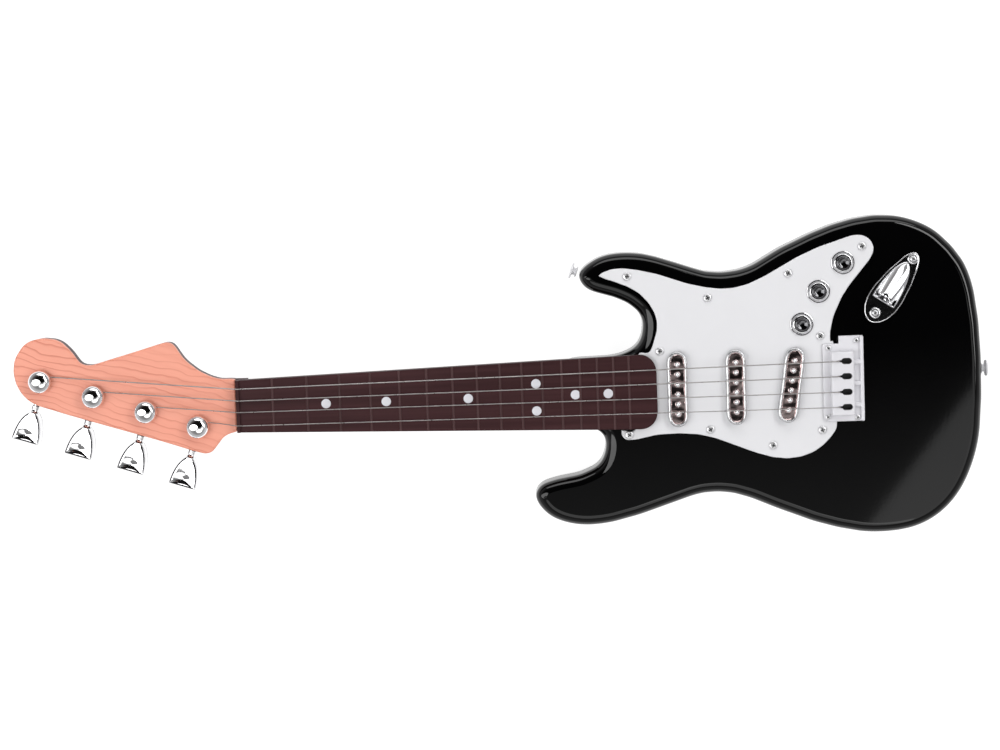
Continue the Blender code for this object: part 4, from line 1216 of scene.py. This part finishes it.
def neck():
    """The neck's rounded back, its heel and the tray behind the headstock."""
    bottom_level, top = (corner.z for corner in box("neck"))
    shape = Shape()
    start = board_low.x + 0.3
    stations = [start + (NECK_END - start) * k / 40 for k in range(41)]
    rows = []
    for x in stations:
        cut = section("neck", min(x, NECK_LEVEL_END), axis=0)[0]
        near, far = limits(cut)
        half = (far.x - near.x) / 2
        bottom = near.y
        row = []
        for k in range(33):
            angle = math.pi * k / 32
            across = math.copysign(abs(math.cos(angle)) ** 0.86, math.cos(angle))
            down = math.sin(angle) ** 0.8
            row.append((x, half * across, top - 0.5 - (top - 0.5 - bottom) * down))
        rows.append(shape.row([(x, half - 0.4, top)] + row + [(x, 0.4 - half, top)]))
    shape.bands(rows)
    shape.face(rows[0])
    shape.face(rows[-1])
    heel = rounded_corners(section("neck", HEEL_LEVEL)[0], 2.0)
    steps = [(0.8, bottom_level), (0, bottom_level + 0.8), (0, HEEL_TOP - 0.4), (0.4, HEEL_TOP)]
    shape.loft(heel, steps)
    edge = board_low.x - 0.7
    tray = [Vector((p.x + TRAY_TAIL, p.y)) if p.x > edge else p for p in cover]
    lower = [(TRAY_INSET - x, z) for x, z in arc((0, TRAY_BOTTOM + 3), (2.4, 3), -90, 0, 6)]
    steps = lower + [(0.5, TRAY_TOP - 0.3), (0.8, TRAY_TOP)]
    rings = shape.loft(tray, steps, capped=False)
    shape.sheet([rings[0]])
    shape.sheet([rings[-1]])
    shape.look("neck", [board_brown])


def headstock_cover():
    low, high = heights("headstock_cover")
    shape = Shape()
    steps = [(0.6, low), (0, low + 0.3), (0, high - COVER_ROUND)] + rounded_top(high, COVER_ROUND, 6)
    shape.loft(cover, steps)
    shape.look("headstock_cover", [wood])


headstock_cover()
neck()


# ---- tuners

def lower_part(shape, node, inverse, level):
    """Adds the part of a CAD node below a level in its own frame, such as its shaft and gear."""
    bm = cad_mesh(node)
    for matrix in (Matrix.Scale(1 / MM, 4), inverse):
        bmesh.ops.transform(bm, matrix=matrix, verts=bm.verts)
    sliced(bm, (0, 0, level), (0, 0, 1), clear_outer=True)
    bmesh.ops.holes_fill(bm, edges=[e for e in bm.edges if e.is_boundary])
    for face in bm.faces:
        shape.face([shape.bm.verts.new(v.co) for v in face.verts])
    bm.free()


def joint_of(body):
    return next(j for j in frame["joints"] if j["child"] == body)


def tuner_post(node):
    joint = joint_of(node)
    place = Matrix.Translation(Vector((joint["pos_m"][0], joint["pos_m"][1], 0)) / MM)
    top = box(node)[1].z
    base = top - 5.9
    shape = Shape()
    lower_part(shape, node, place.inverted(), base - 1.0)
    profile = [(0, base - 1.6), (2.5, base - 1.6), (2.5, base), (POST_DOME - 1.1, base)]
    profile += [(POST_DOME - 0.25, base + 0.2), (POST_DOME, base + 0.6), (POST_DOME, base + 1.0)]
    profile += arc((0, base + 1.0), (POST_DOME, top - base - 1.0), 6, 84, 12) + [(0, top)]
    shape.turned(profile, 48)
    shape.look(node, [chrome], body=node, matrix=place)


def tuner_key(node):
    """A thick bullet-shaped plated key with a fine rim and dished faces, on a collared stem; its rim groove and
    lip are plated dark as painted shade.
    """
    joint = joint_of(node)
    axis = Vector(joint["axis"]).normalized()
    up = Vector((0, 0, 1))
    across = up.cross(axis)
    turn = Matrix((across, up, axis)).transposed().to_4x4()
    place = Matrix.Translation(Vector(joint["pos_m"]) / MM) @ turn
    shape = Shape()
    lower_part(shape, node, place.inverted(), KEY_SHAFT_END)
    stem = [(0, 17.0), (1.9, 17.0), (1.9, 17.9), (2.6, 18.1), (2.8, 18.4), (2.8, 20.9), (2.6, 21.2)]
    stem += [(2.4, 21.4), (2.5, 21.9), (2.8, KEY_START), (3.4, KEY_START + 1.2), (0, KEY_START + 2.0)]
    shape.turned(stem, 24)
    length = KEY_END - KEY_START
    side = []
    for k in range(23):
        share = (1 - math.cos(math.pi / 2 * k / 22)) * 0.985 + 0.015
        width = (1 - (1 - share) ** KEY_BULGE) ** (1 / KEY_BULGE)
        side.append(Vector((KEY_HALF * width, KEY_START + share * length)))
    wide_end = [Vector((KEY_HALF * (1 - k / 8), KEY_END)) for k in range(1, 16)]
    outline = side + wide_end + [Vector((-p.x, p.y)) for p in reversed(side)]
    outline = counter_clockwise(rounded_corners(outline, 1.0, 4, 50))
    half = KEY_THICK / 2
    groove_steps = [(0.0, half - 1.7), (0.22, half - 1.6), (0.22, half - 1.15), (0.0, half - 1.05)]
    edge_steps = [(0.0, half - 1.05), (0.1, half - 0.35), (0.3, half)]
    lip_steps = [(0.3, half), (0.5, half - 0.35), (1.0, half - 0.4), (1.25, half - 0.3)]
    rim = inset(outline, 1.25)
    focus = Vector((0.6, KEY_START + KEY_FOCUS * length))
    rings = []
    for side_sign in (-1, 1):
        groove, edge, lip = [
            [shape.row([(p.x, side_sign * y, p.y) for p in inset(outline, d)]) for d, y in part]
            for part in (groove_steps, edge_steps, lip_steps)
        ]
        shape.bands(edge)
        # The rim groove and the lip round each face take the dark key plating: a painted shade line round the key.
        shape.finish = 1
        shape.bands(groove)
        shape.bands(lip)
        shape.finish = 0
        dish = [lip[-1]]
        for share, sink in KEY_DISH:
            row = []
            for p in rim:
                at = p.lerp(focus, share)
                dent = KEY_DENT * math.exp(-((at.x - focus.x) / 5.2) ** 2 - ((at.y - focus.y) / 2.7) ** 2)
                row.append((at.x, side_sign * (half - 0.3 - sink - dent), at.y))
            dish.append(shape.row(row))
        shape.bands(dish)
        shape.face(dish[-1])
        rings.append(groove[0])
    waist = shape.row([(p.x * 0.965, 0.0, p.y - 0.25) for p in outline])
    shape.bands([rings[0], waist, rings[1]])
    shape.look(node, [chrome, key_shade_line], body=node, matrix=place)


for number in (1, 2, 3, 4):
    tuner_post(f"tuner_post_{number}")
    tuner_key(f"tuner_key_{number}")


# ---- strings and strap buttons

def guitar_string(node, radius):
    """The string's run from bridge to nut, its drop into the bridge and its bend down to the post."""
    low, high = box(node)

    def centre(x):
        return middle(section(node, x, axis=0)[0])

    def at(x):
        here = centre(x)
        return Vector((x, here.x, here.y))

    nut = board_low.x + 1
    bridge_end = at(high.x - 2.6)
    drop = Vector((high.x - 0.5, bridge_end.y, bridge_end.z - 0.7))
    path = [Vector((drop.x, drop.y, STRING_END_HEIGHT)), drop]
    path.append(Vector((drop.x - 0.35, drop.y, bridge_end.z - 0.2)))
    path += [bridge_end, at(-100), at(nut + 4), at(nut + 0.2)]
    end = low.x + 0.6
    for k in range(1, 9):
        path.append(at(nut + (end - nut) * k / 8))
    shape = Shape()
    shape.tube(path, radius)
    shape.look(node, [string_metal])


for number, radius in STRINGS:
    guitar_string(f"string_{number}", radius)


def strap_button(node, mount_name):
    """A turned strap button on a side wall, along the axis of its mount."""
    mount = next(m for m in frame["record"]["mounts"] if m["name"] == mount_name)
    outward = Vector(mount["axis"]).normalized()
    turn = Vector((0, 0, 1)).rotation_difference(outward).to_matrix().to_4x4()
    place = Matrix.Translation(Vector(mount["pos_m"]) / MM) @ turn
    profile = [(0, -4.6), (3.4, -4.6), (3.9, -4.1), (3.9, -3.9), (3.0, -3.7), (2.6, -3.3)]
    profile += [(2.5, -2.4), (2.6, -1.9), (3.2, -1.55), (4.9, -1.4)]
    profile += arc((4.9, -0.7), (0.7, 0.7), -90, 90, 6)
    profile += [(2.4, 0), (2.2, -0.12), (1.0, -0.25), (0, -0.25)]
    shape = Shape()
    shape.turned(profile, 40)
    shape.look(node, [strap_plastic], matrix=place)


strap_button("strap_button_tail", "strap_tail_face")
strap_button("strap_button_horn", "strap_horn_face")


# ---- back

def battery_door():
    low, high = box("battery_door")
    outlines = section("battery_door", high.z - 0.3)
    outline = rounded_corners(outlines[0], 1.5)
    hole = middle(outlines[1])
    shape = Shape()
    steps = [(0, high.z), (0, low.z + 0.5), (0.15, low.z + 0.15), (0.5, low.z), (0.8, low.z)]
    rings = shape.loft(outline, steps, capped=False)
    seat = low.z + DOOR_SEAT_DEPTH
    stepped = [(DOOR_SEAT, low.z), (DOOR_SEAT, seat), (DOOR_BORE, seat), (DOOR_BORE, high.z)]
    bore = [shape.ring(circle(hole, radius), z) for radius, z in stepped]
    shape.bands(bore)
    shape.sheet([rings[-1], bore[0]])
    shape.sheet([rings[0], bore[-1]])
    for k in range(DOOR_RIDGES):
        x = low.x + 7 + 2.6 * k
        ridge = rounded_corners(rectangle((x - 0.6, -9 + 0.6 * k), (x + 0.6, 9 - 0.6 * k)), 0.55)
        shape.loft(ridge, [(0, low.z + 0.4), (0, low.z - 0.02), (0.35, low.z - RIDGE_HEIGHT)])
    shape.look("battery_door", [black_gloss])


battery_door()


def power_switch():
    low, high = box("power_switch")
    centre = (low + high) / 2
    shape = Shape()
    carrier = rounded_corners(rectangle(low.xy, high.xy), 0.6)
    shape.loft(carrier, [(0.2, high.z), (0, high.z - 0.3), (0, SKIN + 0.45), (0.1, SKIN + 0.32)])
    half_x, half_y = SWITCH_KNOB
    corners = (centre.x - half_x, centre.y - half_y), (centre.x + half_x, centre.y + half_y)
    knob = rounded_corners(rectangle(*corners), 0.5)
    shape.loft(knob, [(0, SKIN + 0.6), (0, low.z + 0.9), (0.2, low.z + 0.55), (0.5, low.z + 0.5)])
    for k in (-1, 0, 1):
        x = centre.x + 1.3 * k
        ridge = rectangle((x - 0.4, centre.y - 1.8), (x + 0.4, centre.y + 1.8))
        shape.loft(ridge, [(0, low.z + 0.8), (0, low.z + 0.25), (0.25, low.z)])
    shape.look("power_switch", [black_matte], body="power_switch")


power_switch()


# ---- CAD nodes that keep their shape

def dress(node, material):
    obj = frame["nodes"][node]
    obj.data.materials.clear()
    obj.data.materials.append(material)


dress("battery_box", black_matte)
for number in (1, 2, 3):
    dress(f"battery_cell_{number}", jacket)
dress("circuit_board", board_green)
dress("button_pad", rubber)
dress("loudspeaker", cone_paper)
dress("jack_socket", steel)


# ---- floor, light and camera

def soft_panel(name, place, size, radiance, turn, shape="ELLIPSE"):
    """An area light of a stated radiance."""
    light = bpy.data.lights.new(name, "AREA")
    light.shape = shape
    light.size, light.size_y = size
    light.energy = radiance * math.pi * size[0] * size[1]
    obj = placed(name, light)
    obj.location = place
    obj.rotation_mode = "QUATERNION"
    obj.rotation_quaternion = turn


def studio():
    bm = bmesh.new()
    bmesh.ops.create_grid(bm, x_segments=24, y_segments=24, size=FLOOR_SIZE / 2)
    mesh = bpy.data.meshes.new("studio_floor")
    bm.to_mesh(mesh)
    bm.free()
    mesh.materials.append(pale_floor())
    floor = placed("studio_floor", mesh)
    floor.location = (0, 0, -0.0002)
    for number, (place, size, radiance) in enumerate(KEY_LIGHTS, 1):
        turn = (Vector() - Vector(place)).to_track_quat("-Z", "Y")
        soft_panel(f"soft_panel_{number}", place, size, radiance, turn)


def sheen():
    """A dim panel whose edge is mirrored across the tail of the body."""
    ends = []
    for x, y in SHEEN_EDGE:
        spot = Vector((x, y, FACE_HEIGHT))
        ray = spot - CAMERA
        ray.z = -ray.z
        ends.append(spot + ray * (SHEEN_HEIGHT - FACE_HEIGHT) / ray.z)
    along = (ends[0] - ends[1]).normalized()
    outward = Vector((along.y, -along.x, 0))
    centre = (ends[0] + ends[1]) / 2 + outward * SHEEN_SIZE / 2
    spin = math.atan2(along.y, along.x)
    turn = Matrix.Rotation(spin, 3, "Z").to_quaternion()
    size = (SHEEN_SIZE * 1.4, SHEEN_SIZE)
    soft_panel("sheen_panel", centre, size, SHEEN_RADIANCE, turn, "RECTANGLE")


def surroundings():
    """A studio that is pale round the sides and dark overhead."""
    world = bpy.data.worlds.new("studio")
    bpy.context.scene.world = world
    world.use_nodes = True
    tree = world.node_tree
    place = tree.nodes.new("ShaderNodeTexCoord").outputs["Generated"]
    split = tree.nodes.new("ShaderNodeSeparateXYZ")
    tree.links.new(place, split.inputs["Vector"])
    height = colour_ramp(tree, split.outputs["Z"], SKY_BY_HEIGHT)
    share = tree.nodes.new("ShaderNodeMapRange")
    share.inputs["From Min"].default_value = -1.0
    tree.links.new(split.outputs["Y"], share.inputs["Value"])
    front = colour_ramp(tree, share.outputs["Result"], SKY_BY_SIDE)
    total = tree.nodes.new("ShaderNodeMix")
    total.data_type = "RGBA"
    total.blend_type = "ADD"
    total.inputs[0].default_value = 1.0
    tree.links.new(height, total.inputs[6])
    tree.links.new(front, total.inputs[7])
    background = tree.nodes["Background"]
    tree.links.new(total.outputs[2], background.inputs["Color"])
    background.inputs["Strength"].default_value = 1.0


def camera():
    data = bpy.data.cameras.new("camera")
    data.lens = LENS
    data.sensor_width = 36
    data.clip_start = 0.05
    data.clip_end = 50
    obj = placed("camera", data)
    back = (CAMERA - CAMERA_AIM).normalized()
    right = CAMERA_UP.cross(back).normalized()
    up = back.cross(right)
    turn = Matrix((right, up, back)).transposed()
    obj.matrix_world = Matrix.Translation(CAMERA) @ turn.to_4x4()
    bpy.context.scene.camera = obj


studio()
sheen()
surroundings()
camera()
bpy.context.scene.view_settings.view_transform = "Standard"
